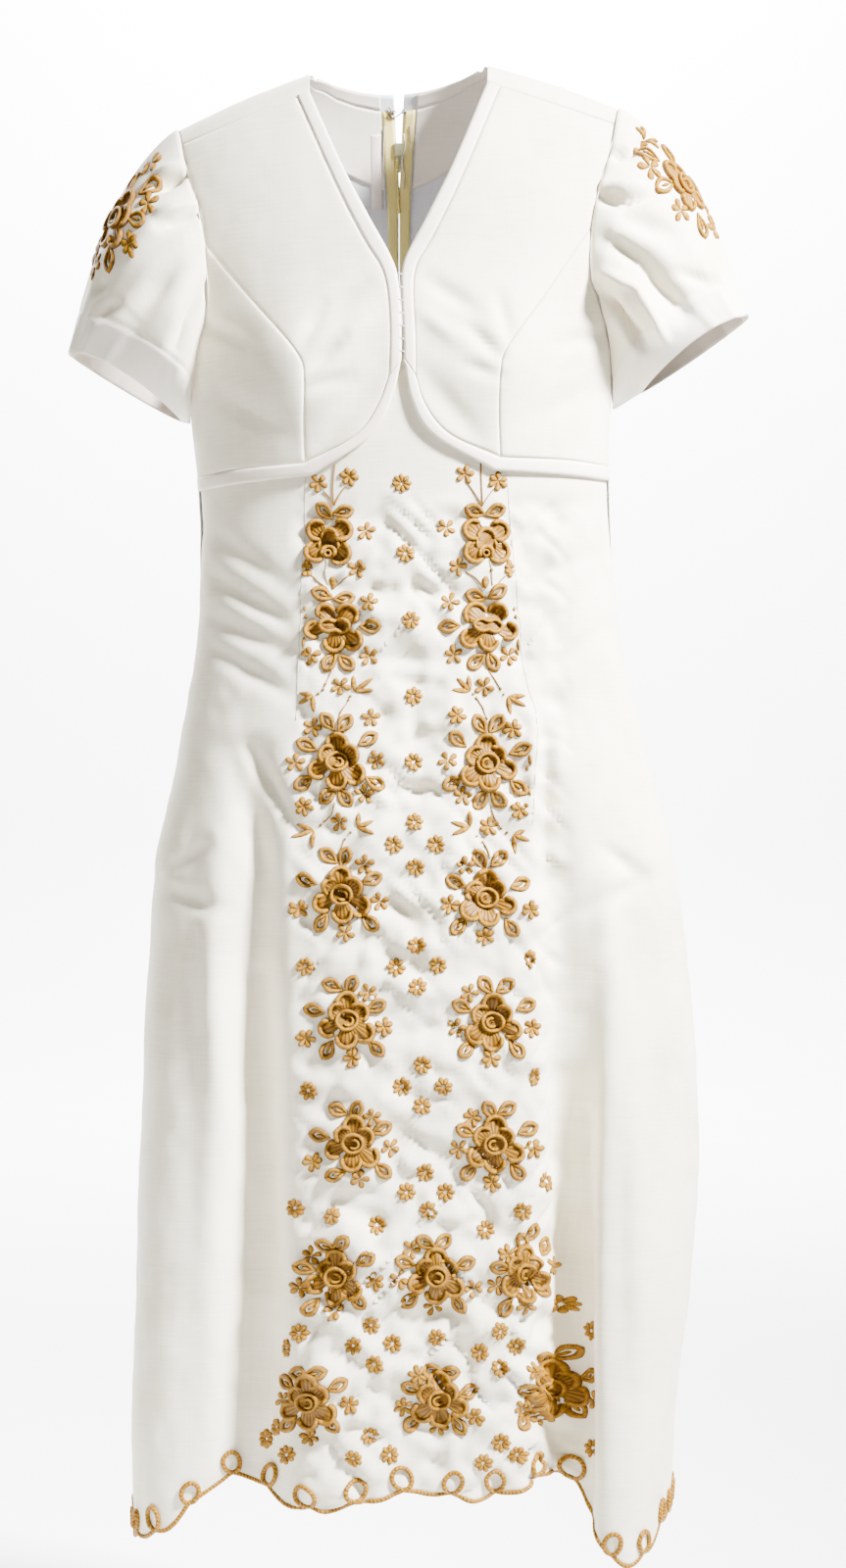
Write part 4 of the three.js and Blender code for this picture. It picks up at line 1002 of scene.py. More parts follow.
SLEEVE_NETS = {}
for sleeve in SLEEVES:
    ring, underarm = armhole_ring(sleeve["side"])
    turn = ring_turns(ring, underarm)
    net = sleeve_points(sleeve, ring, turn, np.linspace(0, 1, SLEEVE_FINE_ROWS + 1))
    if sleeve["side"] < 0:
        net = net[:, ::-1]
        turn = turn[::-1]
    normal = ring_normals(net)
    x, y = photo_places(net)
    in_front = smooth(-normal[..., 1] * 3)
    net = net + normal * (creased(CREASES_SLEEVE, x, y) * in_front)[..., None]
    normal = ring_normals(net)
    run = np.linalg.norm(net[-1] - net[0], axis=-1)
    below = np.linspace(0, 1, SLEEVE_FINE_ROWS + 1)[:, None] * run
    band = run - HEM_BAND
    lift = 0.5 * smooth((below - band) / 2.5) - 0.5 * bell((below - band) / 2.2)
    outer = net + normal * (CLOTH / 2 + lift)[..., None]
    inner = net - normal * (CLOTH / 2)
    points, faces, front = slab(outer, inner, ring=True)
    in_band = (below > band)[:-1].ravel()
    looks = np.ones(len(faces), int)
    looks[:front] = np.where(in_band, 2, 0)
    around = np.cumsum(np.linalg.norm(np.roll(net, -1, axis=1) - net, axis=-1), 1)
    uvs = np.stack([around, -below], -1).reshape(-1, 2)
    # The sleeve's inner faces take the cream cloth with painted shade
    piece = new_piece(
        sleeve["name"] + "_cloth", points, faces, np.vstack([uvs, uvs]), (CREAM, SLEEVE_INSIDE_PAINTED_SHADE, BAND), looks
    )
    declare(piece, [sleeve["name"]])
    SLEEVE_NETS[sleeve["name"]] = dict(net=outer, normal=normal, forward=sleeve["side"])


# Embroidery: raised bars of satin stitch. Their paths are in the photograph's pixels, x to the right and
# y down, and each motif is drawn round its own middle with y up

BAR_OFF = np.array([-1, -0.8, -0.35, 0.35, 0.8, 1])
BAR_UP = np.array([-0.3, 0.55, 1, 1, 0.55, -0.3])
PAD_RINGS = 8
STITCH_RNG = np.random.default_rng(11)
ROPE_STEP = 1.1


class Stitches:
    """Bars of thread gathered into one piece."""

    def __init__(self):
        self.spots, self.lifts, self.uvs, self.faces, self.looks = [], [], [], [], []
        self.count = 0

    def add(self, spots, lifts, uvs, faces, look):
        self.spots.append(spots.reshape(-1, 2))
        self.lifts.append(np.broadcast_to(lifts, spots.shape[:-1]).ravel())
        self.uvs.append(uvs.reshape(-1, 2))
        self.faces += [[self.count + k for k in face] for face in faces]
        self.looks += [look] * len(faces)
        self.count += self.lifts[-1].size

    def bar(self, path, half, high, closed=False, look=0):
        """A rope along a path, with its half width in pixels and its height in mm, or one of each a place."""
        path = np.asarray(path, float)
        half = np.broadcast_to(half, len(path))
        high = np.broadcast_to(high, len(path))
        if closed:
            half = np.append(half, half[0])
            high = np.append(high, high[0])
            path = np.vstack([path, path[:1]])
            before = np.vstack([path[-2:-1], path[:-1]])
            after = np.vstack([path[1:], path[1:2]])
        else:
            before = np.vstack([path[:1], path[:-1]])
            after = np.vstack([path[1:], path[-1:]])
        count = len(path)
        sides = len(BAR_OFF)
        way = after - before
        way /= np.linalg.norm(way, axis=-1, keepdims=True)
        off = np.stack([-way[:, 1], way[:, 0]], -1)[:, None]
        half = half[:, None]
        high = high[:, None]
        run = np.concatenate([[0], np.cumsum(np.linalg.norm(np.diff(path, axis=0), axis=1))]) * MM_PER_PIXEL
        uvs = np.stack(np.broadcast_arrays(run[:, None], BAR_OFF), -1)
        i = np.arange(count - 1)[:, None] * sides
        j = np.arange(sides)
        right = (j + 1) % sides
        faces = np.stack([i + j, i + right, i + right + sides, i + j + sides], -1).reshape(-1, 4).tolist()
        if not closed:
            last = (count - 1) * sides
            faces += [list(range(sides))[::-1], [last + k for k in range(sides)]]
        self.add(path[:, None] + off * (half * BAR_OFF)[..., None], high * BAR_UP, uvs, faces, look)

    def rope(self, path, half, high, look=0):
        """A bar with rounded ends."""
        run = np.concatenate([[0], np.cumsum(np.linalg.norm(np.diff(path, axis=0), axis=1))])
        end = np.minimum(run, run[-1] - run) / (1.4 * half)
        full = 0.3 + 0.7 * np.sqrt(np.clip(end, 0, 1))
        self.bar(path, half * full, high * full, look=look)

    def petal(self, start, end, half, high, fattest=0.62, steps=7, tip=0.35):
        """A bar that swells towards its outer end."""
        t = np.linspace(0, 1, steps)
        swell = np.sin(math.pi / 2 * np.clip(t / fattest, 0, 1)) ** 0.8
        past = (t - fattest) / (1 - fattest)
        swell = np.where(t > fattest, np.sqrt(np.clip(1 - past**2, tip**2, 1)), swell)
        swell = np.maximum(swell, 0.18)
        self.bar(mix(start, end, steps - 1), half * swell, high * (0.35 + 0.65 * swell))

    def pad(self, outline, high, look=0):
        """A low flat filling inside an outline."""
        rings = PAD_RINGS
        outline = np.asarray(outline, float)
        middle = outline.mean(0)
        count = len(outline)
        shares = np.linspace(1, 0.12, rings)
        spots = middle + (outline - middle)[None] * shares[:, None, None]
        lifts = high * np.minimum((1 - shares) * 8, 1)[:, None] - 0.3
        way = np.arctan2(spots[..., 1] - middle[1], spots[..., 0] - middle[0])
        uvs = np.stack([way * 9, np.zeros_like(way)], -1)
        i = np.arange(count)
        right = (i + 1) % count
        faces = []
        for ring in range(rings - 1):
            low = ring * count
            faces += np.stack([low + i, low + right, low + count + right, low + count + i], -1).tolist()
        faces.append([(rings - 1) * count + k for k in range(count)])
        self.add(spots, np.broadcast_to(lifts, spots.shape[:-1]), uvs, faces, look)

    def laid(self, name, materials, place, nodes=()):
        """Makes the piece. place turns pixels and heights into points in mm."""
        points = place(np.vstack(self.spots), np.concatenate(self.lifts))
        piece = new_piece(name, points, self.faces, np.vstack(self.uvs), materials, self.looks)
        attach(piece, "dress")
        if nodes:
            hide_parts(*nodes)


def plane_places(spots):
    return (spots[:, 0] - CENTER_PX) * MM_PER_PIXEL, (SHOULDER_PX - spots[:, 1]) * MM_PER_PIXEL


def on_front(spots, lifts):
    angle, height = seen("front", *plane_places(spots))
    return cloth_at(np.stack([angle, height], -1), front_lift(height) + CLOTH + lifts)


def on_bolero(spots, lifts):
    angle, height = seen("front", *plane_places(spots))
    net = np.stack([angle, height], -1)
    return cloth_at(net, bolero_lift(net) + CLOTH + lifts)


def in_back(spots, lifts):
    """The inner face of the lining at the back of the neck, seen through the V."""
    angle, height = seen("back", *plane_places(spots))
    return cloth_at(np.stack([angle, height], -1), -CLOTH - SEAM_GAP - LINING_CLOTH - lifts)


def motif(x, y, turn=0.0, scale=1.0, mirror=1, squeeze=1.0):
    """Turns a motif's own places, y up, into the photograph's pixels."""
    cos = math.cos(math.radians(turn))
    sin = math.sin(math.radians(turn))

    def put(points):
        points = np.asarray(points, float) * [mirror * scale, scale]
        px = (points[..., 0] * cos - points[..., 1] * sin) * squeeze
        py = points[..., 0] * sin + points[..., 1] * cos
        return np.stack([x + px, y - py], -1)

    return put


def arc(x, y, radius, start, end, tall=1.0):
    count = max(int(abs(math.radians(end - start)) * radius / ROPE_STEP), 4)
    turns = np.radians(np.linspace(start, end, count + 1))
    return np.stack([x + radius * np.cos(turns), y + radius * tall * np.sin(turns)], -1)


def wobble(size):
    return STITCH_RNG.uniform(-size, size)


# Half the width of a rose's ropes in pixels, and the heights of its ropes and its filling in mm
ROPE = 3.1
ROPE_HIGH = 4.1
FILL_HIGH = 1.75

# Each motif's lobes as arcs round its middle: place, radius and the turns they run between
ROSE_LOBES = table(
    "x y radius start end",
    (0, 15, 9, -22, 200), (-17.5, -8, 7.4, 72, 322), (-0.5, -17.5, 8.4, 158, 384),
    (15.5, -12, 8.5, -148, 72), (-8.5, 6, 7.6, 52, 242), (9.5, 5, 8.6, -62, 132),
)
WREATH_LOBES = table(
    "x y radius start end",
    (-8.5, 11.5, 7.6, 8, 215), (11.5, 9, 9.6, -52, 166), (-18.5, -4, 7, 78, 304), (-1, -14.5, 8, 162, 378),
    (16, -12.5, 8, -146, 72),
)
PANSY_LOBES = table(
    "x y radius start end",
    (-11.2, 10, 8.6, 42, 302), (11.8, 10.5, 8.8, 138, -122), (-10.5, -9.5, 9.2, 108, 322),
    (11, -10.5, 9.4, 72, -142), (0.8, 3.6, 7.4, -20, 200), (1, -10.5, 6, -48, 228),
)


def filled_by(lobes):
    """The outline round a motif's lobes, a little inside their ropes."""
    turns = np.radians(np.arange(0, 360, 7.5))
    ways = np.stack([np.cos(turns), np.sin(turns)], -1)
    reach = np.full(len(turns), 8.0)
    for lobe in lobes:
        middle = np.array([lobe["x"], lobe["y"]], float)
        along = ways @ middle
        off = ways[:, 0] * middle[1] - ways[:, 1] * middle[0]
        inside = np.abs(off) < lobe["radius"]
        far = along + np.sqrt(np.where(inside, lobe["radius"] ** 2 - off**2, 0))
        reach = np.where(inside, np.maximum(reach, far), reach)
    return ways * reach[:, None]


def add_lobes(stitches, put, lobes):
    """A motif's filling, and the ropes of its lobes."""
    # The filling (look 1) takes the gold with painted shade
    stitches.pad(put(filled_by(lobes)), FILL_HIGH, look=1)
    for lobe in lobes:
        turn = wobble(5)
        x = lobe["x"] + wobble(0.4)
        y = lobe["y"] + wobble(0.4)
        path = arc(x, y, lobe["radius"] + wobble(0.3), lobe["start"] + turn, lobe["end"] + turn)
        stitches.rope(put(path), ROPE, ROPE_HIGH + wobble(0.25))


def add_rose(stitches, put):
    add_lobes(stitches, put, ROSE_LOBES)
    stitches.bar(put(arc(0, -1, 9.2, 0, 352, tall=0.9)), ROPE * 0.8, ROPE_HIGH * 1.12, closed=True)
    stitches.rope(put(arc(0.8, -1.6, 4.4, -150, 122, tall=0.9)), ROPE * 0.72, ROPE_HIGH * 1.05)
    # This small rope in the middle (look 1) also takes the gold with painted shade
    stitches.rope(put([(-1.5, -1.2), (0, -0.8), (1.6, -1.2)]), 1.5, ROPE_HIGH * 0.8, look=1)


def add_wreath(stitches, put):
    add_lobes(stitches, put, WREATH_LOBES)
    ring = arc(0, 0, 13.2, 0, 352, tall=0.5)
    ring[:, 1] *= 1 - 0.38 * bell(ring[:, 0] / 4.5)
    stitches.bar(put(ring), ROPE * 0.85, ROPE_HIGH * 1.12, closed=True)


def add_pansy(stitches, put):
    add_lobes(stitches, put, PANSY_LOBES)
    for path in ([(-6.6, 3.5), (-8, -3), (-7.6, -8)], [(8.2, 3.5), (9.6, -3), (9, -8)]):
        stitches.rope(put(path), ROPE * 0.8, ROPE_HIGH)
    stitches.bar(put(arc(1, -11, 2.7, 0, 340)), 1.4, ROPE_HIGH * 1.1, closed=True)


DROP_LENGTH = 20
DROP_HALF = 5.4
DROP_HIGH = 2.6
FLOWER_HIGH = 1.9


def add_drop(stitches, base, center, length=DROP_LENGTH):
    """A teardrop loop whose point is at the base, with a small petal inside."""
    base = np.asarray(base, float)
    way = np.asarray(center, float) - base
    way /= np.linalg.norm(way)
    side = np.array([-way[1], way[0]])
    start = np.asarray(center, float) - way * length * 0.56
    t = np.concatenate([np.linspace(0, 1, 16), np.linspace(1, 0, 16)[1:-1]])
    sign = np.concatenate([np.ones(16), -np.ones(14)])
    wide = DROP_HALF * (length / DROP_LENGTH) * np.sin(math.pi * np.clip(t, 0, 1) ** 1.35) ** 0.75 * sign
    path = start + way * (t * length)[:, None] + side * wide[:, None]
    half = 1.8 + 1.2 * smooth(t * 1.3)
    stitches.bar(path, half, DROP_HIGH * (0.6 + 0.4 * smooth(t * 1.6)), closed=True)
    stitches.petal(start + way * length * 0.2, start + way * length * 0.7, 2.0, DROP_HIGH * 0.7, fattest=0.55)


def add_daisy(stitches, x, y, squeeze=1.0):
    """Eight short petals."""
    put = motif(x, y, wobble(22), squeeze=squeeze)
    for k in range(8):
        way = math.radians(360 / 8 * k + wobble(5))
        far = 9.8 + wobble(0.7)
        start = put((1.6 * math.cos(way), 1.6 * math.sin(way)))
        end = put((far * math.cos(way), far * math.sin(way)))
        stitches.petal(start, end, 3.0, FLOWER_HIGH)


def add_flower(stitches, x, y, size=1.0, squeeze=1.0):
    """Five or six petals on narrow stalks."""
    petals = int(STITCH_RNG.integers(5, 7))
    turn = wobble(36)
    put = motif(x, y, turn, size, squeeze=squeeze)
    for k in range(petals):
        way = math.radians(360 / petals * k + wobble(8))
        far = 10.3 + wobble(1.0)
        start = put((0.8 * math.cos(way), 0.8 * math.sin(way)))
        end = put((far * math.cos(way), far * math.sin(way)))
        stitches.petal(start, end, 3.4 * size, FLOWER_HIGH, fattest=0.7, steps=8)


def add_leaf(stitches, start, end, half=3.0):
    stitches.petal(start, end, half, 1.6, fattest=0.4, steps=8, tip=0.02)


def add_stem(stitches, path, look=0):
    stitches.bar(curve(path, 4 * len(path)), 0.8, 1.0, look=look)


def add_sprig(stitches, center, tips, dots, stem):
    for tip in tips:
        add_leaf(stitches, center, tip)
    for x, y in dots:
        stitches.rope(np.array([(x - 1.2, y + 1.2), (x, y), (x + 1.2, y - 1.2)], float), 2.0, 1.6)
    add_stem(stitches, stem)


ROSE_NODES = table(
    "name kind x y mirror squeeze drops",
    ("rose_left_1", "pansy", 334, 552, 1, 1, [(330, 521), (350, 522)]),
    ("rose_right_1", "pansy", 497, 552, -1, 1, [(485, 521), (507, 521)]),
    ("rose_left_2", "wreath", 341, 638, 1, 1, [(328, 606), (351, 610), (378, 639), (335, 675), (353, 676)]),
    (
        "rose_right_2", "wreath", 498, 638, -1, 1,
        [(485, 608), (508, 604), (458, 639), (486, 675), (503, 675)],
    ),
    (
        "rose_left_3", "rose", 344, 776, 1, 1,
        [(334, 736), (352, 738), (312, 760), (376, 754), (309, 799), (383, 799), (334, 812), (352, 814)],
    ),
    (
        "rose_right_3", "rose", 498, 777, -1, 1,
        [(490, 738), (507, 738), (467, 754), (531, 765), (461, 799), (530, 803), (491, 816), (509, 815)],
    ),
    (
        "rose_left_4", "rose", 348, 912, 1, 1,
        [(334, 873), (351, 874), (312, 898), (380, 897), (327, 942), (378, 942)],
    ),
    (
        "rose_right_4", "rose", 497, 915, -1, 1,
        [(490, 876), (510, 876), (465, 900), (532, 902), (468, 945), (522, 947)],
    ),
    (
        "rose_left_5", "rose", 354, 1040, 1, 1,
        [(338, 1006), (358, 1005), (319, 1031), (384, 1027), (333, 1072), (384, 1070)],
    ),
    (
        "rose_right_5", "rose", 503, 1042, -1, 1,
        [(496, 1005), (516, 1006), (471, 1027), (538, 1026), (476, 1071), (527, 1071)],
    ),
    (
        "rose_left_6", "rose", 360, 1166, 1, 1,
        [(343, 1133), (363, 1133), (324, 1159), (390, 1152), (341, 1199), (391, 1195)],
    ),
    (
        "rose_right_6", "rose", 505, 1167, -1, 1,
        [(500, 1133), (518, 1132), (475, 1154), (539, 1152), (478, 1197), (528, 1196)],
    ),
    (
        "rose_left_7", "rose", 341, 1303, 1, 1,
        [(331, 1272), (348, 1269), (309, 1294), (373, 1285), (316, 1335), (365, 1328)],
    ),
    (
        "rose_center_7", "rose", 445, 1301, 1, 1,
        [(434, 1268), (452, 1268), (413, 1288), (475, 1289), (418, 1328), (468, 1332)],
    ),
    (
        "rose_right_7", "rose", 537, 1299, -1, 0.86,
        [(535, 1268), (546, 1258), (510, 1294), (564, 1273), (517, 1335), (556, 1315)],
    ),
    (
        "rose_left_8", "rose", 314, 1430, 1, 1,
        [(305, 1402), (324, 1401), (290, 1411), (345, 1414), (293, 1453), (338, 1454)],
    ),
    (
        "rose_center_8", "rose", 448, 1428, -1, 1,
        [(441, 1400), (459, 1401), (419, 1417), (478, 1421), (421, 1454), (468, 1456)],
    ),
    (
        "rose_right_8", "rose", 565, 1417, -1, 0.9,
        [(561, 1388), (577, 1383), (540, 1419), (593, 1405), (540, 1451), (581, 1440)],
    ),
)
ROSE_SCALE = 1.12
MAKERS = {"rose": add_rose, "wreath": add_wreath, "pansy": add_pansy}
DAISIES = [
    (410, 493), (414, 564), (419, 633), (422, 710), (422, 777), (423, 839), (402, 862), (445, 862),
    (424, 885), (425, 965), (404, 987), (447, 985), (426, 1007), (311, 986), (431, 1087), (410, 1109),
    (452, 1109), (431, 1129), (314, 1113), (434, 1197), (415, 1217), (455, 1217), (437, 1236), (300, 1233),
    (338, 1241), (385, 1251), (496, 1256), (534, 1236), (561, 1206), (304, 1361), (379, 1354), (401, 1372),
    (360, 1375), (382, 1393), (446, 1366), (511, 1359), (529, 1375), (490, 1381), (511, 1397), (578, 1335),
    (596, 1359), (291, 1485), (360, 1489), (398, 1485), (378, 1466), (511, 1472), (493, 1493), (529, 1485),
    (597, 1479),
]
NARROW_DAISIES = [(542, 978), (547, 1099), (290, 1376), (268, 1469), (278, 1457)]
FLOWERS = [
    (324, 493), (356, 486), (475, 484), (509, 491), (373, 541), (456, 538), (364, 580), (467, 578),
    (376, 614), (376, 669), (317, 669), (459, 614), (463, 668), (520, 669), (347, 700), (494, 701),
    (318, 742), (378, 732), (301, 778), (384, 775), (372, 810), (310, 823), (466, 730), (523, 744),
    (457, 776), (472, 812), (530, 827), (346, 839), (499, 843), (372, 882), (304, 928), (387, 920),
    (352, 952), (475, 884), (459, 923), (541, 929), (495, 956), (375, 1013), (311, 1060), (392, 1048),
    (359, 1080), (479, 1013), (466, 1049), (544, 1049), (501, 1080), (380, 1140), (318, 1186), (398, 1172),
    (367, 1203), (482, 1141), (468, 1173), (544, 1172), (502, 1207), (315, 1282), (305, 1314), (382, 1308),
    (340, 1338), (420, 1275), (407, 1306), (484, 1315), (443, 1335), (518, 1280), (507, 1313), (572, 1294),
    (537, 1333), (286, 1429), (356, 1434), (314, 1467), (426, 1403), (412, 1437), (485, 1446), (447, 1458),
    (546, 1400), (535, 1438), (558, 1446), (598, 1430),
]
SEAM_FLOWERS = [(313, 580), (520, 580)]
SEAM_LEAVES = [
    (311, 650, 309, 662), (313, 662, 310, 668), (529, 651, 531, 664), (527, 662, 531, 668),
    (539, 770, 541, 782), (538, 800, 541, 812),
]
BUDS = [(310, 621), (311, 629), (526, 621), (527, 629), (501, 582), (538, 784)]
PEARS = [(339, 594), (495, 594)]
SPRIGS = table(
    "center tips dots stem",
    (
        (320, 710),
        [(305, 707), (304, 718), (320, 727)], [(325, 708), (330, 704), (332, 698)],
        [(331, 701), (334, 692), (338, 684)],
    ),
    (
        (361, 705),
        [(360, 689), (380, 692), (381, 704)], [(357, 710), (355, 714)],
        [(354, 716), (348, 726), (345, 735)],
    ),
    (
        (480, 705),
        [(478, 689), (466, 692), (461, 704)], [(483, 708), (486, 712)],
        [(487, 713), (493, 722), (498, 734)],
    ),
    (
        (518, 711),
        [(536, 710), (536, 721), (521, 729)], [(511, 703), (514, 708)],
        [(510, 702), (505, 694), (499, 684)],
    ),
    (
        (319, 847),
        [(301, 841), (297, 854), (318, 866)], [(326, 842), (330, 838)],
        [(331, 838), (338, 831), (342, 819)],
    ),
    (
        (364, 844),
        [(366, 829), (381, 837), (382, 851)], [(357, 849), (351, 856)],
        [(350, 857), (347, 866), (344, 879)],
    ),
    (
        (480, 844),
        [(479, 827), (460, 839), (461, 852)], [(487, 853), (493, 859)],
        [(494, 860), (498, 868), (500, 876)],
    ),
    (
        (524, 852),
        [(536, 847), (541, 858), (527, 871)], [(512, 845), (518, 849)],
        [(511, 844), (506, 836), (502, 822)],
    ),
)
STEMS = [
    [(340, 516), (336, 508), (329, 501)], [(340, 516), (339, 497), (341, 474)],
    [(340, 516), (345, 506), (352, 496)], [(493, 516), (486, 505), (477, 492)],
    [(493, 516), (492, 497), (491, 472)], [(493, 515), (498, 507), (504, 499)],
    [(315, 585), (323, 592), (333, 600)], [(359, 585), (351, 590), (343, 597)],
    [(475, 583), (485, 590), (493, 600)], [(519, 585), (512, 591), (505, 599)],
]
PALE_STEMS = [[(333, 571), (332, 583), (334, 597)], [(499, 571), (501, 583), (502, 597)]]

for row in ROSE_NODES:
    stitches = Stitches()
    put = motif(row["x"], row["y"], wobble(4), ROSE_SCALE, row["mirror"], row["squeeze"])
    MAKERS[row["kind"]](stitches, put)
    stitches.laid(row["name"] + "_stitches", (GOLD, GOLD_RECESS_PAINTED_SHADE), on_front, (row["name"],))

COLUMNS = {"left": (0, 398), "center": (398, 462), "right": (462, 900)}


def within(rows, low, high):
    """The rows whose first x lies between low and high."""
    return [row for row in rows if low <= np.ravel(row)[0] < high]


for name, (low, high) in COLUMNS.items():
    stitches = Stitches()
    for row in ROSE_NODES:
        for x, y in within(row["drops"], low, high):
            steep = abs(y - row["y"]) > 25 and abs(x - row["x"]) < 20
            base = (row["x"], row["y"] + (math.copysign(27, y - row["y"]) if steep else 0))
            add_drop(stitches, base, (x, y))
    for x, y in within(DAISIES, low, high):
        add_daisy(stitches, x, y)
    for x, y in within(NARROW_DAISIES, low, high):
        add_daisy(stitches, x, y, squeeze=0.6)
    for x, y in within(FLOWERS, low, high):
        add_flower(stitches, x, y)
    for x, y in within(SEAM_FLOWERS, low, high):
        add_flower(stitches, x, y, squeeze=0.5)
    for sprig in SPRIGS:
        if low <= sprig["center"][0] < high:
            add_sprig(stitches, **sprig)
    for path in within(STEMS, low, high):
        add_stem(stitches, path)
    for path in within(PALE_STEMS, low, high):
        add_stem(stitches, path, look=1)
    for x1, y1, x2, y2 in within(SEAM_LEAVES, low, high):
        add_leaf(stitches, (x1, y1), (x2, y2), 2.0)
    for x, y in within(BUDS, low, high):
        stitches.rope(np.array([(x, y - 2.5), (x, y), (x, y + 2.5)], float), 2.4, 1.7)
    for x, y in within(PEARS, low, high):
        stitches.petal((x, y + 7), (x, y - 6), 4.2, 2.2, fattest=0.55)
    stitches.laid(f"embroidery_{name}", (GOLD, PALE_GOLD), on_front)


# The hem's cord, which stands up in a loop at each point between two scallops

CORD_RADIUS = 2.2
CORD_STEP = 1.5
CORD_SIDES = 8
CORD_TWIST = 7.0
LOOP_HALF = 6.6
LOOP_TALL = 9.4
LOOP_LEAN = 2.2


def cord_path(start, end, scallops, loops_from, loops_to):
    """Places along the cord as (mm round, height), and how far each lies up off the edge from 0 to 1."""
    edge = hem_spots(start, end, scallops, 24) * [MM_PER_DEGREE, 1]
    turns = np.radians(np.linspace(-90, 270, 40))
    places = []
    risen = []
    for k in range(scallops + 1):
        at = edge[24 * k]
        if loops_from <= k <= loops_to:
            way = -1 if k % 2 else 1
            tall = LOOP_TALL + wobble(0.8)
            half = LOOP_HALF + wobble(0.5)
            rise = (1 + np.sin(turns)) / 2
            along = np.cos(turns) * half + way * LOOP_LEAN * rise
            places += list(at + np.stack([along, tall * (1 + np.sin(turns))], -1))
            risen += list(smooth(rise * 6))
        if k < scallops:
            places += list(edge[24 * k + 2 : 24 * k + 23])
            risen += [0.0] * 21
    track = np.column_stack([places, risen])
    run = np.linalg.norm(np.diff(track[:, :2], axis=0), axis=1).sum()
    return respaced(track, int(run / CORD_STEP))


def add_cord(name, track):
    spots = track[:, :2] / [MM_PER_DEGREE, 1]
    risen = track[:, 2]
    lift = -CLOTH / 2 + risen * (CLOTH / 2 + CORD_RADIUS * 0.8)
    middle = cloth_at(spots, lift)
    away = normals(spots[:, 0], spots[:, 1])
    along = np.gradient(middle, axis=0)
    along /= np.linalg.norm(along, axis=-1, keepdims=True)
    side = np.cross(along, away)
    side /= np.linalg.norm(side, axis=-1, keepdims=True)
    away = np.cross(side, along)
    turns = np.linspace(0, 2 * math.pi, CORD_SIDES, endpoint=False)
    ring = away[:, None] * np.cos(turns)[:, None] + side[:, None] * np.sin(turns)[:, None]
    points = (middle[:, None] + ring * CORD_RADIUS).reshape(-1, 3)
    faces = grid_faces(len(middle), CORD_SIDES, ring=True).tolist()
    last = (len(middle) - 1) * CORD_SIDES
    faces += [list(range(CORD_SIDES))[::-1], [last + k for k in range(CORD_SIDES)]]
    run = np.concatenate([[0], np.cumsum(np.linalg.norm(np.diff(middle, axis=0), axis=1))])
    winding = np.abs(np.where(turns > math.pi, turns - 2 * math.pi, turns)) / math.pi * CORD_TWIST / 2
    uvs = np.stack([run[:, None] + winding, np.zeros((len(middle), CORD_SIDES))], -1)
    piece = new_piece(name + "_twist", points, faces, uvs.reshape(-1, 2), (CORD,))
    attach(piece, "dress")
    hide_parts(name)


add_cord("hem_cord_front", cord_path(-90, 90, SCALLOPS_FRONT, 0, SCALLOPS_FRONT))
add_cord("hem_cord_left", cord_path(-90.5, -179.2, SCALLOPS_BACK_HALF, 1, SCALLOPS_BACK_HALF - 1))
add_cord("hem_cord_right", cord_path(90.5, 179.2, SCALLOPS_BACK_HALF, 1, SCALLOPS_BACK_HALF - 1))


# The sleeves' motifs, laid on each sleeve where the photograph shows them


def sampled(grid, i, j):
    """Values of a ring's grid between its places."""
    rows, columns = grid.shape[:2]
    i = np.clip(i, 0, rows - 1.001)
    a = np.floor(i).astype(int)
    b = np.floor(j).astype(int)
    u = (i - a)[:, None]
    v = (j - b)[:, None]
    flat = grid.reshape(rows, columns, -1)
    low = flat[a, b % columns] * (1 - v) + flat[a, (b + 1) % columns] * v
    high = flat[a + 1, b % columns] * (1 - v) + flat[a + 1, (b + 1) % columns] * v
    return low * (1 - u) + high * u


def on_sleeve(sleeve, anchor):
    """Lays places, in pixels toward the front and down the sleeve from an anchor, onto the sleeve."""
    net = sleeve["net"]
    seen_at = np.stack(photo_places(net), -1)
    hidden = sleeve["normal"][..., 1] > -0.1
    away = np.linalg.norm(seen_at - anchor, axis=-1) + 1000 * hidden
    row, column = np.unravel_index(away.argmin(), away.shape)
    down = np.linalg.norm(net[row + 1, column] - net[row - 1, column]) / 2
    over = np.linalg.norm(net[row, column + 3] - net[row, column - 3]) / 6

    def place(spots, lifts):
        i = row + spots[:, 1] * MM_PER_PIXEL / down
        j = column + sleeve["forward"] * spots[:, 0] * MM_PER_PIXEL / over
        return sampled(net, i, j) + sampled(sleeve["normal"], i, j) * lifts[:, None]

    return place


# Places in pixels toward the front and down the sleeve from the anchor, which is in the photograph's pixels
SLEEVE_MOTIFS = [
    dict(
        name="sleeve_left", anchor=(122, 229), x=-13, y=1, turn=8, mirror=1,
        drops=[(-6, -42), (15, -17), (13, 31), (-36, -24), (-42, 14)],
        flowers=[(10, -33), (26, 3), (-9, 45), (-32, -46), (-34, 38)],
    ),
    dict(
        name="sleeve_right", anchor=(694, 195), x=-13, y=0, turn=-8, mirror=-1,
        drops=[(-8, -44), (13, -19), (11, 36), (-38, -22), (-40, 16)],
        flowers=[(6, -37), (22, 7), (-12, 46), (-32, -44), (-36, 38)],
    ),
]
for row in SLEEVE_MOTIFS:
    stitches = Stitches()
    add_rose(stitches, motif(row["x"], row["y"], row["turn"], ROSE_SCALE, row["mirror"]))
    for x, y in row["drops"]:
        add_drop(stitches, (row["x"], row["y"]), (1.08 * x, 1.08 * y), 25)
    for x, y in row["flowers"]:
        add_flower(stitches, 1.12 * x, 1.12 * y, 1.3)
    place = on_sleeve(SLEEVE_NETS[row["name"]], row["anchor"])
    stitches.laid(row["name"] + "_stitches", (GOLD, GOLD_RECESS_PAINTED_SHADE), place)


# Seams and small trimmings

DART_SEAMS = [
    [(311, 487), (308, 575), (305, 661), (303, 700), (302, 735)],
    [(518, 487), (527, 594), (538, 698), (546, 727), (543, 840)],
]
BASTING = [(279, 4), (292, 3), (305, 4), (318, 3), (331, 4), (344, 3), (357, 4)]
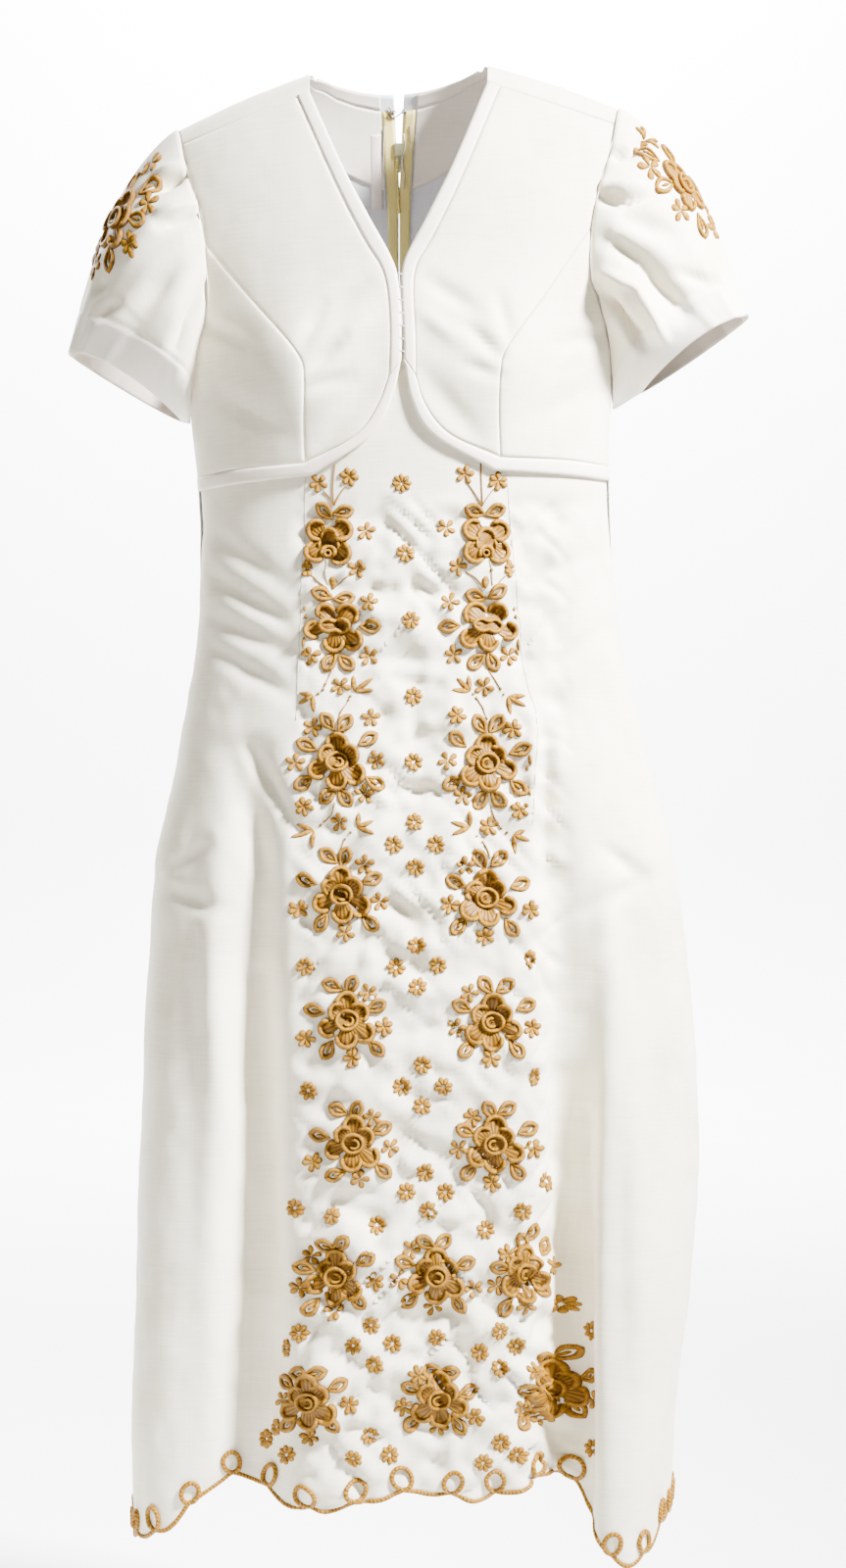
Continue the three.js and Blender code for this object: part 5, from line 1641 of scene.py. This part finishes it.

# The dart seams as thin dark bars of painted shade, for the shade in their grooves
stitches = Stitches()
for path in DART_SEAMS:
    stitches.bar(curve(path, 60), 0.5, 0.3)
stitches.laid("dart_seam_painted_shade", (SEAM_GROOVE_PAINTED_SHADE,), on_front)

stitches = Stitches()
for y, half in BASTING:
    stitches.rope(mix((409.5 - half, y), (409.5 + half, y + 2.5), 5), 0.55, 0.5)
stitches.laid("closure_stitches", (WHITE_THREAD,), on_bolero)

stitches = Stitches()
stitches.bar(curve([(404.5, 163), (405.6, 190), (407, 218)], 40), 1.7, 1.3)
stitches.laid("zip_teeth", (TEETH,), in_back)

stitches = Stitches()
stitches.bar(curve([(383, 137), (383.5, 175), (385, 214)], 30), 5.6, 0.5)
stitches.laid("zip_seam_allowance", (PINK_CLOTH,), in_back)

stitches = Stitches()
stitches.bar(curve([(412, 136), (413.5, 148), (410.5, 163), (412.5, 178), (411, 193)], 30), 0.5, 2.2)
stitches.rope(curve([(392, 128), (391, 160), (393, 214)], 40), 0.35, 1.4)
stitches.rope(curve([(419, 127), (420, 160), (419, 214)], 40), 0.35, 1.4)
stitches.laid("zip_threads", (WHITE_THREAD,), in_back)

stitches = Stitches()
stitches.bar(arc(401.5, 116, 3.2, 40, 330), 0.8, 1.6)
stitches.bar(curve([(404, 118.5), (408, 116), (412, 113)], 10), 0.8, 1.6)
stitches.bar(arc(412.5, 114, 2.4, 200, 520), 0.7, 1.6)
stitches.laid("hook_and_eye", (STEEL,), in_back)

stitches = Stitches()
stitches.rope(curve([(396, 109), (398.4, 113), (396.8, 117), (399, 120)], 14), 0.6, 1.5)
stitches.laid("hook_thread", (BROWN_THREAD,), in_back)


# Stage, camera and lights

WORLD_COLOR = (1.0, 0.94, 0.80, 1)
WORLD_STRENGTH = 0.12
FLOOR_Z = -1500
WALL_Y = 6000
STAGE_HALF = 4500
FLOOR_FRONT_Y = -3500
STAGE_TOP = 4000
COVE_RADIUS = 700


def add_stage():
    turns = np.linspace(0, math.pi / 2, 17)
    cove_y = WALL_Y - COVE_RADIUS + COVE_RADIUS * np.sin(turns)
    cove = np.stack([cove_y, FLOOR_Z + COVE_RADIUS * (1 - np.cos(turns))], -1)
    profile = np.vstack([[FLOOR_FRONT_Y, FLOOR_Z], cove, [WALL_Y, STAGE_TOP]])
    points = np.array([[x, y, z] for y, z in profile for x in (-STAGE_HALF, STAGE_HALF)])
    faces = [(2 * i, 2 * i + 1, 2 * i + 3, 2 * i + 2) for i in range(len(profile) - 1)]
    material, nodes, links, bsdf = shader("pale_floor", 0.9, Specular_IOR_Level=0.1)
    places = nodes.new("ShaderNodeTexCoord")
    grain = noise_of(nodes, links, places.outputs["Object"], 2.0, 2.0)
    shades = [(0.3, (0.90, 0.90, 0.90)), (0.7, (0.93, 0.93, 0.93))]
    links.new(ramp(nodes, links, grain, shades), bsdf.inputs["Base Color"])
    new_piece("floor", points, faces, materials=(material,))


def add_camera():
    camera = bpy.data.cameras.new("camera")
    camera.sensor_width = 36
    camera.lens = camera.sensor_width * EYE_DISTANCE / (PHOTO_HEIGHT * MM_PER_PIXEL)
    camera.clip_end = 30
    holder = bpy.data.objects.new("camera", camera)
    holder.location = (EYE_X * MM, -EYE_DISTANCE * MM, EYE_Z * MM)
    holder.rotation_euler = (math.pi / 2, 0, 0)
    bpy.context.scene.collection.objects.link(holder)
    bpy.context.scene.camera = holder


LIGHTS = table(
    "name place aim size spread watts color",
    ("key", (2050, -1250, 1500), (0, 0, -600), 480, 50, 98, (0.98, 0.99, 1.0)),
    ("fill", (-2000, -1500, 1100), (0, 0, -600), 1500, 120, 13, (1.0, 0.96, 0.88)),
    ("rear", (-2300, 2500, 1200), (0, 0, -600), 1200, 50, 26, (1.0, 1.0, 1.0)),
    ("backdrop", (0, 3600, 3000), (0, WALL_Y, -900), 3000, 180, 2300, (1.0, 1.0, 1.0)),
)


def add_lights():
    for row in LIGHTS:
        light = bpy.data.lights.new(row["name"], "AREA")
        light.shape = "SQUARE"
        light.size = row["size"] * MM
        light.energy = row["watts"]
        light.spread = math.radians(row["spread"])
        light.color = row["color"]
        holder = bpy.data.objects.new(row["name"], light)
        place = np.array(row["place"], float)
        holder.location = place * MM
        way = np.array(row["aim"]) - place
        tip = math.acos(-way[2] / np.linalg.norm(way))
        holder.rotation_euler = (tip, 0, math.atan2(way[1], way[0]) - math.pi / 2)
        bpy.context.scene.collection.objects.link(holder)
    world = bpy.context.scene.world or bpy.data.worlds.new("world")
    bpy.context.scene.world = world
    world.use_nodes = True
    sky = world.node_tree.nodes["Background"]
    sky.inputs["Color"].default_value = WORLD_COLOR
    sky.inputs["Strength"].default_value = WORLD_STRENGTH


add_stage()
add_camera()
add_lights()
